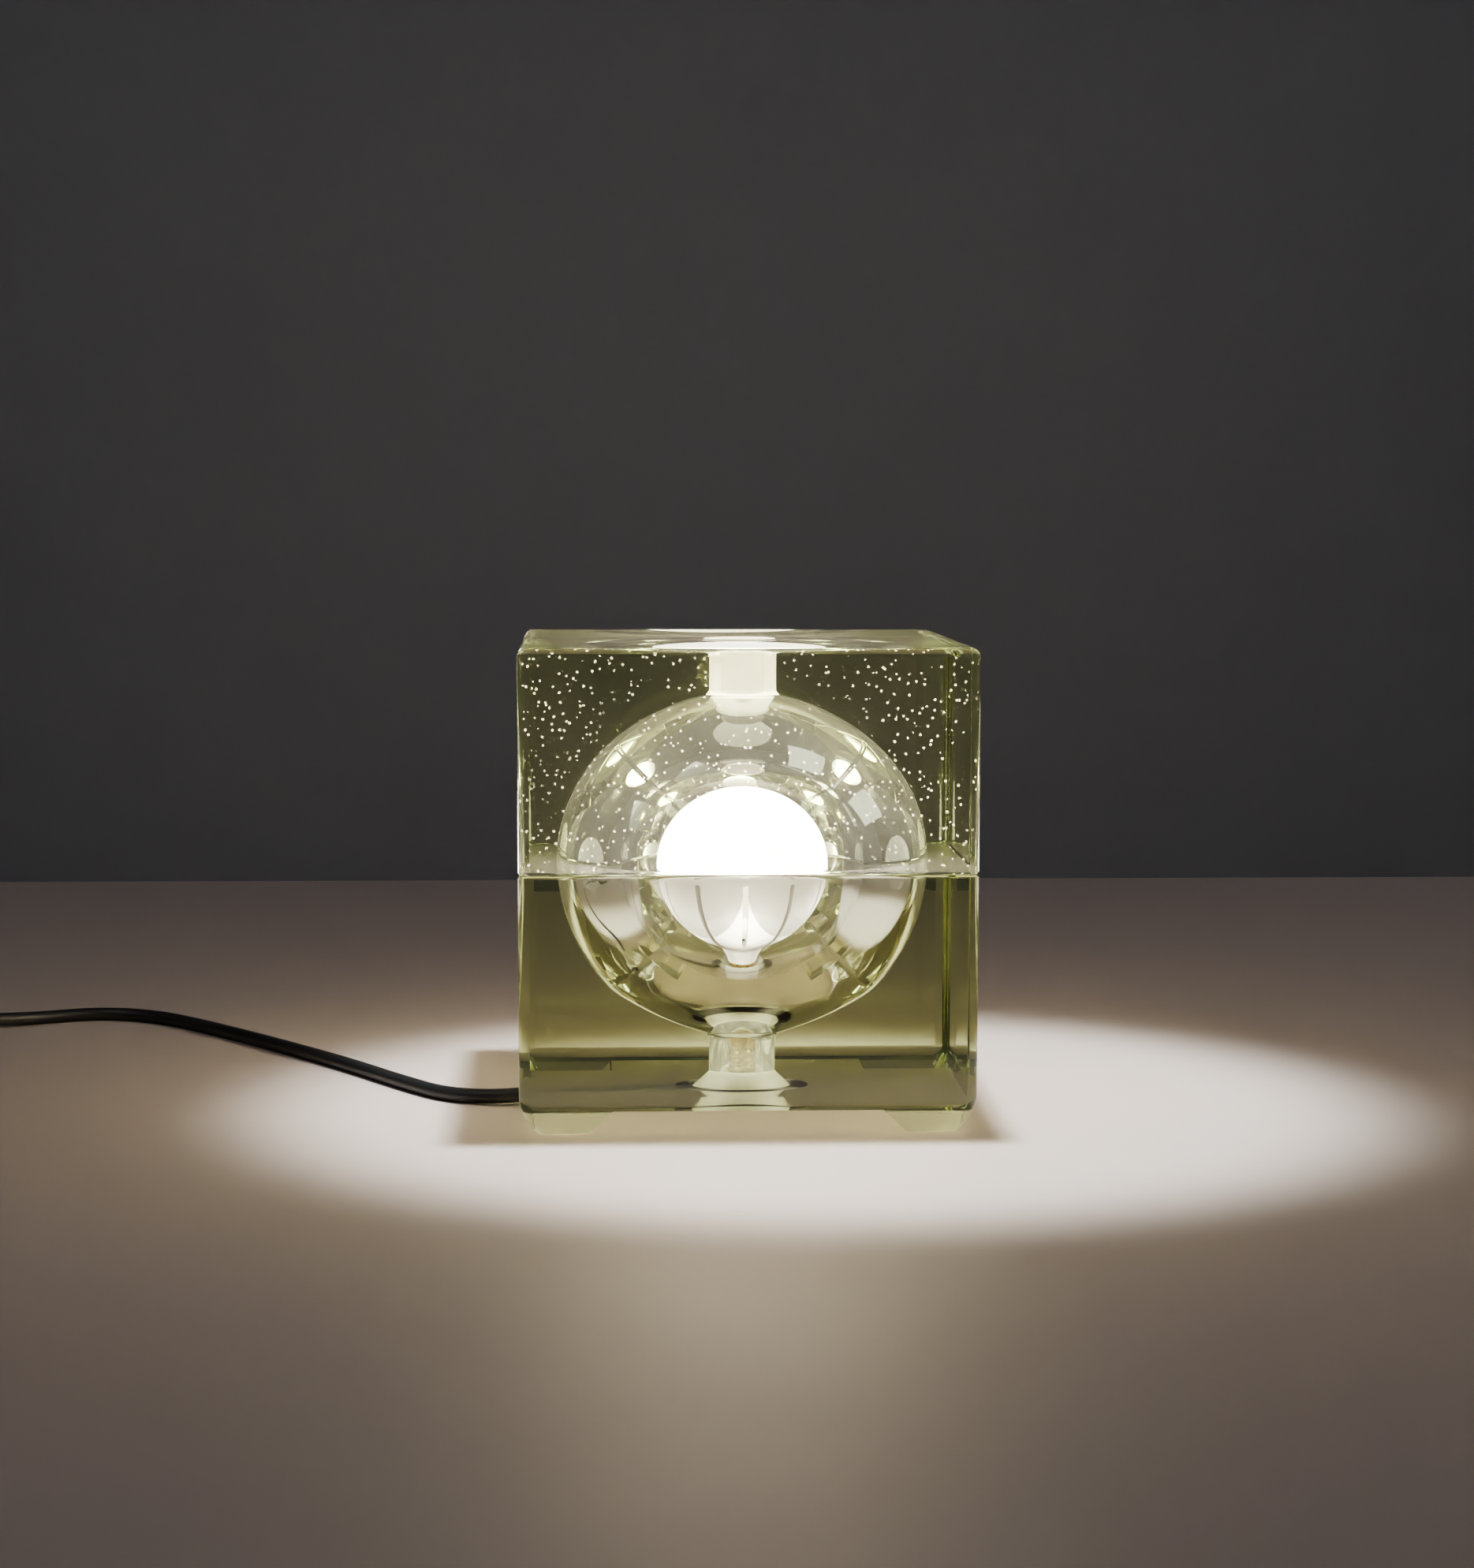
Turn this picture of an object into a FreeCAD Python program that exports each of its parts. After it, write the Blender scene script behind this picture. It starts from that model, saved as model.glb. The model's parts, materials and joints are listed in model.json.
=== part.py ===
import FreeCAD, Part
import math
import os
from FreeCAD import Placement, Rotation, Vector

# A table lamp made of two thick pressed-glass halves that stand on each other as a cube.
# A hollow dome in each half makes one cavity round the bulb, and the cord leaves under the block.
# Millimetres, +Z up, origin on the table under the middle of the cube.

# Glass cube
block_side = 160.0
lamp_height = 170.0
seam_height = 91.4           # the lower half ends and the upper half begins
foot_height = 9.0            # the underside of the glass stands this high
corner_radius = 4.0
top_edge_radius = 3.0
seam_edge_radius = 1.2
draft_height = 14.0          # the sides curve in from here down to the feet
draft_inset = 6.0
draft_power = 1.7            # how late the curve sets in
draft_steps = 4
foot_reach_at_block = 33.0   # from the side of the block to the foot's inner edge
foot_reach_at_table = 24.0
foot_edge_radius = 1.0

# Cavity and bores
cavity_radius = 67.0
upper_shoulder_radius = 56.0
upper_shoulder_turn = 50.0
upper_dome_height = 59.6
lower_shoulder_turn = 42.0
lower_knuckle_radius = 25.0
lower_knuckle_turn = 16.0
lower_dome_depth = 63.4
bore_radius = 12.0
bore_mouth_radius = 2.5
bore_rim_radius = 1.5
flare_radius = 17.5          # the bottom bore opens to this at the underside
flare_depth = 5.0

# Lampholder, drawn with its cord exit towards -X and then turned
exit_turn = 13.0
holder_radius = 24.0
flange_thickness = 1.6
collar_top = 13.9
collar_top_radius = 11.6
collar_foot_radius = 17.0
shell_radius = 7.8
shell_inner_radius = 7.2
shell_bottom = 10.0
shell_top = 27.5
socket_clearance = 0.3
throat_radius = 6.9
cap_bottom = 1.2
cap_floor = 1.0
cap_wall = 1.6
cap_screw_circle = 19.8
cap_screw_angles = (0.0, 125.0, 235.0)
screw_radius = 0.9
boss_radius = 2.6
terminal_size = (7.0, 5.0, 4.2)
terminal_place = (11.0, 11.5)

# Cord
cord_diameter = 5.4
cord_exit_height = 5.4
relief_length = 22.0
relief_radius = 3.4
relief_end_radius = 3.0
core_diameter = 2.0

# Bulb with a 14 mm screw cap, a ribbed heat spreader up to its middle and a diffuser above
tip_bottom = 5.0
tip_top = 6.6
tip_radius = 3.2
insulator_top = 11.0
insulator_top_radius = 6.35
bulb_cap_radius = 6.9
bulb_cap_top = 28.0
bulb_cap_wall = 0.4
neck_radius = 8.6
neck_wall = 1.6
neck_shoulder = 36.0
neck_top = 44.0
globe_radius = 47.0
globe_centre = 88.0
globe_wall = 1.4
spreader_turn = 62.0         # the spreader follows the globe down to this angle under its middle
spreader_groove_depth = 6.0
spreader_wall = 2.3
spreader_groove_width = 2.4
spreader_rib_count = 14
spreader_groove_bottom = 47.5
spreader_groove_top = 83.5
board_seat = 85.2
board_radius = 42.3
board_thickness = 1.6
led_count = 16
led_circle = 30.0

# Switch on the cord, drawn along X about its middle
switch_length = 60.0
switch_width = 24.0
switch_height = 15.5
switch_split = 8.0
switch_wall = 1.8
switch_corner = 6.0
cord_height_in_switch = 6.6
rocker_length = 14.8
rocker_width = 9.6
rocker_throw = 12.0
rocker_pin_radius = 0.95

# Flat two-pin plug, drawn along -Y from the cord's end
plug_length = 34.0
plug_width = 35.0
plug_height = 13.7
plug_tail_length = 16.0
pin_diameter = 4.0
pin_length = 19.0
pin_spacing = 18.6
sleeve_length = 10.0
pin_core_radius = 1.6
pin_in_body = 12.0
plug_turn = 6.0

# Cord routes, chosen by hand along what lies on the table
floor_line = cord_diameter / 2 + 0.05
coil_line = floor_line + 0.7   # the coil lies on its tie
exit_run = 19.2
lead_route = [
    (-84.0, -19.0, 3.4), (-106.0, -13.0, floor_line),
    (-124.0, 13.0, floor_line), (-147.0, 52.0, floor_line), (-176.0, 95.0, floor_line),
    (-208.0, 139.0, floor_line), (-234.0, 171.0, floor_line), (-262.0, 184.0, floor_line),
    (-290.0, 169.0, floor_line), (-316.0, 151.0, 5.2),
]
switch_start = (-338.0, 136.0, cord_height_in_switch)
switch_heading = 214.3
link_first_run = 22.0
coil_start = (-417.0, 44.0)
link_last_run = 23.0
coil_outer_radius = 37.8
turn_pitch = 6.0
layer_pitch = 6.0
coil_half_turns_in = 5
coil_half_turns_out = 6
tail_route = [(-417.0, 18.0, 9.45), (-417.8, 4.0, 8.0), (-420.0, -9.0, 6.85)]
tie_width = 8.0
tie_thickness = 0.55


def at(x, y, z=0.0):
    return Vector(x, y, z)


def box(low, high):
    size = [h - l for l, h in zip(low, high)]
    return Part.makeBox(*size, Vector(*low))


def cylinder(radius, bottom, top, x=0.0, y=0.0):
    return Part.makeCylinder(radius, top - bottom, Vector(x, y, bottom))


def line(first, last):
    return Part.makeLine(at(first[0], 0, first[1]), at(last[0], 0, last[1]))


def arc(first, middle, last):
    return Part.Arc(*(at(p[0], 0, p[1]) for p in (first, middle, last))).toShape()


def revolve(edges):
    """Turns a closed outline of radius and height about the lamp's axis."""
    return Part.Face(Part.Wire(edges)).revolve(Vector(), Vector(0, 0, 1), 360)


def revolve_points(points):
    return revolve([line(a, b) for a, b in zip(points, points[1:] + points[:1])])


def ring(outer, inner, bottom, top):
    return revolve_points([(inner, bottom), (outer, bottom), (outer, top), (inner, top)])


def rounded_square(side, radius, height):
    """A square wire with round corners at a height."""
    half, inner = side / 2, side / 2 - radius
    diagonal = inner + radius * math.sqrt(0.5)
    edges = []
    for quarter in range(4):
        turn = Rotation(Vector(0, 0, 1), 90 * quarter)
        side_start, side_end = at(half, -inner, height), at(half, inner, height)
        middle, corner_end = at(diagonal, diagonal, height), at(inner, half, height)
        edges.append(Part.makeLine(turn.multVec(side_start), turn.multVec(side_end)))
        corner = Part.Arc(*(turn.multVec(p) for p in (side_end, middle, corner_end)))
        edges.append(corner.toShape())
    return Part.Wire(edges)


def prism(wire, rise):
    return Part.Face(wire).extrude(Vector(0, 0, rise))


def level_edges(shape, height, least=0.0, most=1e9):
    """The edges that lie at one height, between two distances from the axis."""
    found = []
    for edge in shape.Edges:
        bounds = edge.BoundBox
        reach = max(abs(bounds.XMin), abs(bounds.XMax))
        if abs(bounds.ZMin - height) < 0.01 and abs(bounds.ZMax - height) < 0.01:
            if least <= reach <= most:
                found.append(edge)
    return found


# Glass halves

def crown_arc(start, slope, end):
    """An arc that leaves start at a downward slope towards the axis and reaches end."""
    slope = math.radians(slope)
    chord = (end[0] - start[0], end[1] - start[1])
    normal = (-math.sin(slope), -math.cos(slope))
    across = chord[0] * normal[0] + chord[1] * normal[1]
    radius = (chord[0] ** 2 + chord[1] ** 2) / (2 * across)
    centre = (start[0] + radius * normal[0], start[1] + radius * normal[1])
    middle = ((start[0] + end[0]) / 2 - centre[0], (start[1] + end[1]) / 2 - centre[1])
    scale = radius / math.hypot(*middle)
    return (centre[0] + middle[0] * scale, centre[1] + middle[1] * scale)


def on_circle(centre, radius, angle):
    angle = math.radians(angle)
    return (centre[0] + radius * math.cos(angle), centre[1] + radius * math.sin(angle))


def upper_cavity():
    centre = (cavity_radius - upper_shoulder_radius, 0.0)
    shoulder = on_circle(centre, upper_shoulder_radius, upper_shoulder_turn)
    half_way = on_circle(centre, upper_shoulder_radius, upper_shoulder_turn / 2)
    mouth = (bore_radius, upper_dome_height)
    crown = crown_arc(shoulder, 90 - upper_shoulder_turn, mouth)
    top = lamp_height - seam_height + 1.0
    edges = [
        line((0, 0), (cavity_radius, 0)),
        arc((cavity_radius, 0), half_way, shoulder),
        arc(shoulder, crown, mouth),
        line(mouth, (bore_radius, top)),
        line((bore_radius, top), (0, top)),
        line((0, top), (0, 0)),
    ]
    solid = revolve(edges)
    solid.translate(at(0, 0, seam_height))
    return solid


def lower_cavity():
    """Drawn upside down about the seam, then turned over."""
    shoulder = on_circle((0, 0), cavity_radius, lower_shoulder_turn)
    shoulder_middle = on_circle((0, 0), cavity_radius, lower_shoulder_turn / 2)
    knuckle_centre = on_circle((0, 0), cavity_radius - lower_knuckle_radius, lower_shoulder_turn)
    knuckle_end_turn = lower_shoulder_turn + lower_knuckle_turn
    knuckle_turn = lower_shoulder_turn + lower_knuckle_turn / 2
    knuckle_middle = on_circle(knuckle_centre, lower_knuckle_radius, knuckle_turn)
    knuckle = on_circle(knuckle_centre, lower_knuckle_radius, knuckle_end_turn)
    mouth = (bore_radius, lower_dome_depth)
    crown = crown_arc(knuckle, 90 - knuckle_end_turn, mouth)
    underside = seam_height - foot_height
    edges = [
        line((0, 0), (cavity_radius, 0)),
        arc((cavity_radius, 0), shoulder_middle, shoulder),
        arc(shoulder, knuckle_middle, knuckle),
        arc(knuckle, crown, mouth),
        line(mouth, (bore_radius, underside - flare_depth)),
        line((bore_radius, underside - flare_depth), (flare_radius, underside)),
        line((flare_radius, underside), (flare_radius, underside + 1)),
        line((flare_radius, underside + 1), (0, underside + 1)),
        line((0, underside + 1), (0, 0)),
    ]
    solid = revolve(edges)
    solid.rotate(Vector(), Vector(1, 0, 0), 180)
    solid.translate(at(0, 0, seam_height))
    return solid


def foot_channel():
    """The sloping-sided channel that leaves a foot at each corner."""
    past = block_side
    wide = block_side / 2 - foot_reach_at_table
    narrow = block_side / 2 - foot_reach_at_block
    slope = (wide - narrow) / foot_height
    points = [
        at(-past, -wide - slope, -1), at(-past, wide + slope, -1),
        at(-past, narrow, foot_height), at(-past, -narrow, foot_height),
    ]
    outline = Part.Wire([Part.makeLine(a, b) for a, b in zip(points, points[1:] + points[:1])])
    return Part.Face(outline).extrude(at(2 * past, 0))


def lower_glass_block():
    sections = []
    for step in range(draft_steps + 1):
        height = draft_height * step / draft_steps
        inset = draft_inset * (1 - step / draft_steps) ** draft_power
        sections.append(rounded_square(block_side - 2 * inset, corner_radius, height))
    drafted = Part.makeLoft(sections, True, False)
    straight = rounded_square(block_side, corner_radius, draft_height)
    body = drafted.fuse(prism(straight, seam_height - draft_height))
    body = body.makeFillet(seam_edge_radius, level_edges(body, seam_height))
    along = foot_channel()
    across = along.copy()
    across.rotate(Vector(), Vector(0, 0, 1), 90)
    body = body.cut(along.fuse(across))
    body = body.makeFillet(foot_edge_radius, level_edges(body, 0.0))
    body = body.cut(lower_cavity())
    mouth = level_edges(body, seam_height - lower_dome_depth, 0, bore_radius + 0.1)
    return body.makeFillet(bore_mouth_radius, mouth)


def upper_glass_block():
    body = prism(rounded_square(block_side, corner_radius, seam_height), lamp_height - seam_height)
    body = body.makeFillet(top_edge_radius, level_edges(body, lamp_height))
    body = body.makeFillet(seam_edge_radius, level_edges(body, seam_height))
    body = body.cut(upper_cavity())
    mouth = level_edges(body, seam_height + upper_dome_height, 0, bore_radius + 0.1)
    body = body.makeFillet(bore_mouth_radius, mouth)
    return body.makeFillet(bore_rim_radius, level_edges(body, lamp_height, 0, bore_radius + 0.1))


# Lampholder

def turned(solid):
    """Turns a piece of the lampholder so that its cord exit points the right way."""
    solid.rotate(Vector(), Vector(0, 0, 1), exit_turn)
    return solid


def screw_places():
    return [on_circle((0, 0), cap_screw_circle, angle) for angle in cap_screw_angles]


def lampholder_base():
    flange_bottom = foot_height - flange_thickness
    floor_top = cap_bottom + cap_floor
    body = revolve_points([
        (throat_radius, flange_bottom), (holder_radius, flange_bottom), (holder_radius, foot_height),
        (collar_foot_radius, foot_height), (collar_top_radius, collar_top),
        (shell_radius + socket_clearance, collar_top), (shell_radius + socket_clearance, shell_bottom),
        (throat_radius, shell_bottom),
    ])
    for x, y in screw_places():
        body = body.fuse(cylinder(boss_radius, floor_top, flange_bottom, x, y))
    for x, y in screw_places():
        body = body.cut(cylinder(screw_radius, floor_top - 1, foot_height - 0.6, x, y))
    slot_half = relief_radius + 0.3
    body = body.cut(box((-holder_radius - 1, -slot_half, 0), (-holder_radius + 8, slot_half, foot_height + 1)))
    contact_slot = box((throat_radius - 0.5, -2.3, flange_bottom - 0.1), (8.0, 2.3, shell_bottom + 0.05))
    return turned(body.cut(contact_slot).removeSplitter())


def screw_shell():
    tube = ring(shell_radius, shell_inner_radius, shell_bottom, shell_top)
    return tube.fuse(ring(shell_radius, insulator_top_radius + 0.05, shell_bottom, shell_bottom + 0.5))


def centre_contact():
    thickness, half = 0.5, 2.5
    bottom = tip_bottom - 0.1 - thickness
    reach = terminal_place[0] + half
    leaf = box((-half - 0.5, -half, bottom), (reach, half, bottom + thickness))
    foot_end = terminal_place[1] - terminal_size[1] / 2
    foot = box((reach - 2 * half, half, bottom), (reach, foot_end, bottom + thickness))
    return turned(leaf.fuse(foot).removeSplitter())


def shell_contact():
    thickness, half = 0.5, 2.0
    inner = throat_radius + 0.05
    bottom = foot_height - flange_thickness - 0.2 - thickness
    reach = terminal_place[0] + 2.5
    tab = box((inner, -half, bottom), (inner + thickness, half, shell_bottom))
    arm = box((inner, -half, bottom), (reach, half, bottom + thickness))
    foot_end = terminal_place[1] - terminal_size[1] / 2
    foot = box((reach - 5.0, -foot_end, bottom), (reach, -half, bottom + thickness))
    return turned(tab.fuse([arm, foot]).removeSplitter())


def terminal_blocks():
    length, width, height = terminal_size
    top = foot_height - flange_thickness
    x = terminal_place[0]
    blocks = []
    for y in (terminal_place[1], -terminal_place[1]):
        low = (x - length / 2, y - width / 2, top - height)
        blocks.append(box(low, (x + length / 2, y + width / 2, top)))
    return turned(Part.makeCompound(blocks))


def terminal_screws():
    bottom = foot_height - flange_thickness - terminal_size[2]
    x, y = terminal_place
    heads = [cylinder(1.6, bottom - 0.8, bottom, x, side * y) for side in (1, -1)]
    return turned(Part.makeCompound(heads))


def bottom_cap():
    top = foot_height - flange_thickness
    floor_top = cap_bottom + cap_floor
    cup = cylinder(holder_radius, cap_bottom, top)
    cup = cup.makeFillet(0.9, level_edges(cup, cap_bottom))
    cup = cup.cut(cylinder(holder_radius - cap_wall, floor_top, top + 1))
    for x, y in screw_places():
        cup = cup.cut(cylinder(screw_radius + 0.3, cap_bottom - 1, floor_top + 1, x, y))
    neck = Part.makeCylinder(2.9, 6, at(-holder_radius - 3, 0, cord_exit_height), Vector(1, 0, 0))
    slot = box((-holder_radius - 3, -2.9, cord_exit_height), (-holder_radius + 3, 2.9, top + 1))
    return turned(cup.cut([neck, slot]).removeSplitter())


def cap_screws():
    screws = []
    for x, y in screw_places():
        head = cylinder(1.9, cap_bottom - 0.8, cap_bottom, x, y)
        screws.append(head.fuse(cylinder(screw_radius - 0.05, cap_bottom, foot_height - 1.6, x, y)))
    return turned(Part.makeCompound(screws))


def strain_relief():
    """A tapered sleeve with a neck in the wall and a collar inside it."""
    inner_face = holder_radius - cap_wall
    profile = [
        (inner_face - 3.0, 0), (inner_face - 3.0, 3.1), (inner_face - 0.2, 3.1),
        (inner_face - 0.2, 2.7), (holder_radius + 0.2, 2.7), (holder_radius + 0.2, relief_radius),
        (holder_radius + 6.0, relief_radius), (holder_radius + relief_length, relief_end_radius),
        (holder_radius + relief_length, 0),
    ]
    corners = [at(-x, radius, cord_exit_height) for x, radius in profile]
    outline = Part.Wire([Part.makeLine(a, b) for a, b in zip(corners, corners[1:] + corners[:1])])
    axis_point = at(0, 0, cord_exit_height)
    return turned(Part.Face(outline).revolve(axis_point, Vector(1, 0, 0), 360))


def core(side):
    """One insulated core, from the relief's inner face to its terminal."""
    start = -(holder_radius - cap_wall - 3.0)
    end = terminal_place[0] - terminal_size[0] / 2
    points = [
        at(start, side * 1.3, cord_exit_height), at(start + 4.5, side * 1.3, cord_exit_height),
        at(-6.5, side * terminal_place[1], 4.9), at(end, side * terminal_place[1], 4.9),
    ]
    return turned(tube(rounded_path(points, ""), core_diameter))


# Bulb

def contact_tip():
    tip = cylinder(tip_radius, tip_bottom, tip_top)
    return tip.makeFillet(0.9, level_edges(tip, tip_bottom))


def cap_insulator():
    return revolve_points([
        (0, tip_top), (tip_radius + 0.5, tip_top), (insulator_top_radius - 0.2, shell_bottom + 0.6),
        (insulator_top_radius - 0.2, insulator_top), (0, insulator_top),
    ])


def bulb_cap():
    wall = ring(bulb_cap_radius, bulb_cap_radius - bulb_cap_wall, insulator_top, bulb_cap_top)
    return wall.fuse(ring(bulb_cap_radius, 3.0, insulator_top, insulator_top + bulb_cap_wall))


def on_globe(radius, angle):
    """A point on a sphere about the globe's middle, at an angle under its equator."""
    return on_circle((0, globe_centre), radius, -angle)


def bulb_collar():
    """The white neck on the screw cap, with a shoulder under the heat spreader."""
    inner = neck_radius - neck_wall
    return revolve_points([
        (inner, bulb_cap_top), (neck_radius, bulb_cap_top), (neck_radius + 1.0, neck_shoulder - 3.0),
        (neck_radius + 2.4, neck_shoulder), (neck_radius, neck_shoulder), (neck_radius, neck_top),
        (inner, neck_top),
    ])


def heat_spreader():
    """A hollow bowl that carries on the globe's line, grooved all round into broad ribs."""
    inner_radius = globe_radius - spreader_groove_depth - spreader_wall
    bore = neck_radius + 0.05
    foot, waist = (neck_radius + 2.4, neck_shoulder), (neck_radius + 4.4, neck_shoulder + 5.0)
    rim = (globe_radius, globe_centre)
    ledge = (math.sqrt(inner_radius ** 2 - (globe_centre - board_seat) ** 2), board_seat)
    lip = board_radius + 0.3
    turned_in, half_way = on_globe(globe_radius, spreader_turn), on_globe(globe_radius, spreader_turn / 2)
    inner_end, inner_half = on_globe(inner_radius, spreader_turn), on_globe(inner_radius, spreader_turn / 2)
    bowl = revolve([
        line(foot, waist), line(waist, turned_in), arc(turned_in, half_way, rim),
        line(rim, (lip, globe_centre)), line((lip, globe_centre), (lip, board_seat)),
        line((lip, board_seat), ledge), arc(ledge, inner_half, inner_end),
        line(inner_end, (bore, neck_top)), line((bore, neck_top), (bore, neck_shoulder)),
        line((bore, neck_shoulder), foot),
    ])
    centre = at(0, 0, globe_centre)
    skin = Part.makeSphere(globe_radius + 1, centre)
    skin = skin.cut(Part.makeSphere(globe_radius - spreader_groove_depth, centre))
    half = spreader_groove_width / 2
    grooves = []
    for step in range(spreader_rib_count):
        slab = box((10.0, -half, spreader_groove_bottom), (globe_radius + 2, half, spreader_groove_top))
        slab.rotate(Vector(), Vector(0, 0, 1), 360 * (step + 0.5) / spreader_rib_count)
        grooves.append(slab)
    return bowl.cut(Part.makeCompound(grooves).common(skin))


def bulb_globe():
    """The diffuser, a half globe that stands on the heat spreader's rim."""
    centre = at(0, 0, globe_centre)
    shell = Part.makeSphere(globe_radius, centre).cut(Part.makeSphere(globe_radius - globe_wall, centre))
    return shell.cut(cylinder(globe_radius + 5, globe_centre - globe_radius - 5, globe_centre))


def led_board():
    return cylinder(board_radius, board_seat, board_seat + board_thickness)


def led_chips():
    bottom = board_seat + board_thickness
    chips = []
    for step in range(led_count):
        chip = box((led_circle - 1.7, -1.7, bottom), (led_circle + 1.7, 1.7, bottom + 0.8))
        chip.rotate(Vector(), Vector(0, 0, 1), 360 * step / led_count)
        chips.append(chip)
    return Part.makeCompound(chips)


def driver_board():
    return box((-5.0, -0.6, 18.0), (5.0, 0.6, 62.0))


def driver_capacitor():
    return cylinder(4.0, 48.5, 61.0, 0, 4.7)


def driver_coil():
    spool = cylinder(2.2, 49.0, 58.0, 0, -4.7)
    ends = [cylinder(4.0, 49.0, 50.2, 0, -4.7), cylinder(4.0, 56.8, 58.0, 0, -4.7)]
    return spool.fuse(ends).removeSplitter()


def bulb_leads():
    """Two leads from the board: one to the tip, one to the screw cap's wall."""
    to_tip = cylinder(0.4, insulator_top, 18.0)
    to_cap = Part.makeCylinder(0.4, bulb_cap_radius - bulb_cap_wall - 5.0, at(5.0, 0, 21.0), Vector(1, 0, 0))
    return Part.makeCompound([to_tip, to_cap])


# Cords

def tube(path, diameter):
    """Sweeps a round section along a path of runs and arcs."""
    start = path.Edges[0].valueAt(path.Edges[0].FirstParameter)
    heading = path.Edges[0].tangentAt(path.Edges[0].FirstParameter)
    section = Part.Wire(Part.makeCircle(diameter / 2, start, heading))
    solid = path.makePipeShell([section], True, False)
    expected = math.pi * diameter ** 2 / 4 * path.Length
    if abs(solid.Volume / expected - 1) > 0.01:
        print("tube volume differs from section times length:", round(solid.Volume / expected, 3))
    return solid


def rounded_path(points, name):
    """Straight runs through the points, with an arc at each as large as its runs allow."""
    edges, here, radii = [], points[0], []
    for before, corner, after in zip(points, points[1:], points[2:]):
        back, on = corner - before, after - corner
        shorter = min(back.Length, on.Length)
        back.normalize()
        on.normalize()
        turn = back.getAngle(on)
        reach = 0.45 * shorter
        radius = reach / math.tan(turn / 2)
        radii.append(round(radius, 1))
        first, last = corner - back * reach, corner + on * reach
        inward = on - back
        inward.normalize()
        middle = corner + inward * (radius / math.cos(turn / 2) - radius)
        edges.append(Part.makeLine(here, first))
        edges.append(Part.Arc(first, middle, last).toShape())
        here = last
    edges.append(Part.makeLine(here, points[-1]))
    path = Part.Wire(edges)
    if name:
        print(name, "length", round(path.Length, 1), "bend radii", radii)
    return path


def exit_direction():
    angle = math.radians(180 + exit_turn)
    return at(math.cos(angle), math.sin(angle))


def switch_direction():
    angle = math.radians(switch_heading)
    return at(math.cos(angle), math.sin(angle))


def lead_points():
    start = exit_direction() * (holder_radius + relief_length) + at(0, 0, cord_exit_height)
    first = start + exit_direction() * exit_run
    return [start, first] + [Vector(*p) for p in lead_route] + [Vector(*switch_start)]


def link_points():
    start = Vector(*switch_start) + switch_direction() * switch_length
    first = start + switch_direction() * link_first_run - at(0, 0, 1.6)
    end = at(*coil_start, coil_line)
    return [start, first, end + at(0, link_last_run), end]


def half_turn(start, centre_x, radius, rise):
    """A half circle seen from above, tilted where it climbs to the next layer."""
    end = at(2 * centre_x - start.x, start.y, start.z + rise)
    tilted = (end - start).Length / 2
    side = -1 if start.x < centre_x else 1
    middle = (start + end) * 0.5 + at(0, side * tilted)
    return Part.Arc(start, middle, end).toShape(), end


def coil_path():
    """Spirals in on the table, climbs one layer at the middle and spirals out again."""
    step = turn_pitch / 2
    start = at(*coil_start, coil_line)
    here = start - at(0, cord_diameter)
    edges = [Part.makeLine(start, here)]
    radius = coil_outer_radius
    radii = [radius - step * k for k in range(coil_half_turns_in)]
    inner = radius - step * coil_half_turns_in
    radii += [inner] + [inner + step * (k + 1) for k in range(coil_half_turns_out)]
    for number, radius in enumerate(radii):
        side = 1 if number % 2 == 0 else -1
        rise = layer_pitch if number == coil_half_turns_in else 0.0
        edge, here = half_turn(here, here.x + side * radius, radius, rise)
        edges.append(edge)
    end = here - at(0, cord_diameter)
    edges.append(Part.makeLine(here, end))
    path = Part.Wire(edges)
    print("coil length", round(path.Length, 1), "least gap", round(least_gap(path), 2), "ends at", end)
    return path, end


def least_gap(path):
    """The smallest clear distance between one turn and another."""
    points, lengths, run = [], [], 0.0
    for edge in path.Edges:
        count = max(2, int(edge.Length / 2))
        for p in edge.discretize(count)[:-1]:
            if points:
                run += (p - points[-1]).Length
            points.append(p)
            lengths.append(run)
    least = 1e9
    apart = 4 * cord_diameter
    for i, p in enumerate(points):
        for q, length in zip(points[i + 1:], lengths[i + 1:]):
            if length - lengths[i] > apart:
                least = min(least, (p - q).Length)
    return least - cord_diameter


def tail_points(coil_end):
    last = plug_start()
    return [coil_end] + [Vector(*p) for p in tail_route] + [last]


def plug_start():
    x, y, z = tail_route[-1]
    run = 20.0
    angle = math.radians(plug_turn)
    return at(x + run * math.sin(angle), y - run * math.cos(angle), plug_height / 2)


def coil_tie():
    """A flat band round the bundle of turns, on the side that faces the camera."""
    step = turn_pitch / 2
    inner = coil_outer_radius - step * (coil_half_turns_in - 1) - cord_diameter / 2 - 1.4
    outer = coil_outer_radius + cord_diameter / 2 + 0.5
    low, high = coil_line - cord_diameter / 2 - 0.05, coil_line + layer_pitch + cord_diameter / 2 + 0.4
    x = coil_start[0] + coil_outer_radius + step
    y = coil_start[1] - cord_diameter
    inside = box((x - tie_width, y - outer, low), (x + tie_width, y - inner, high))
    t = tie_thickness
    band = box((x - tie_width / 2, y - outer - t, low - t), (x + tie_width / 2, y - inner + t, high + t))
    return band.cut(inside)


# Switch

def rounded_box(length, width, bottom, top, radius):
    body = box((-length / 2, -width / 2, bottom), (length / 2, width / 2, top))
    upright = [e for e in body.Edges if abs(e.BoundBox.ZLength - (top - bottom)) < 0.01]
    return body.makeFillet(radius, upright)


def placed_on_cord(solid):
    middle = Vector(*switch_start) + switch_direction() * (switch_length / 2)
    middle.z = 0
    solid.Placement = Placement(middle, Rotation(Vector(0, 0, 1), switch_heading)) * solid.Placement
    return solid


def cord_holes():
    start = at(-switch_length / 2 - 1, 0, cord_height_in_switch)
    return Part.makeCylinder(cord_diameter / 2 + 0.1, switch_length + 2, start, Vector(1, 0, 0))


def switch_screw_places():
    return [(-19.0, 6.5), (19.0, -6.5)]


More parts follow.
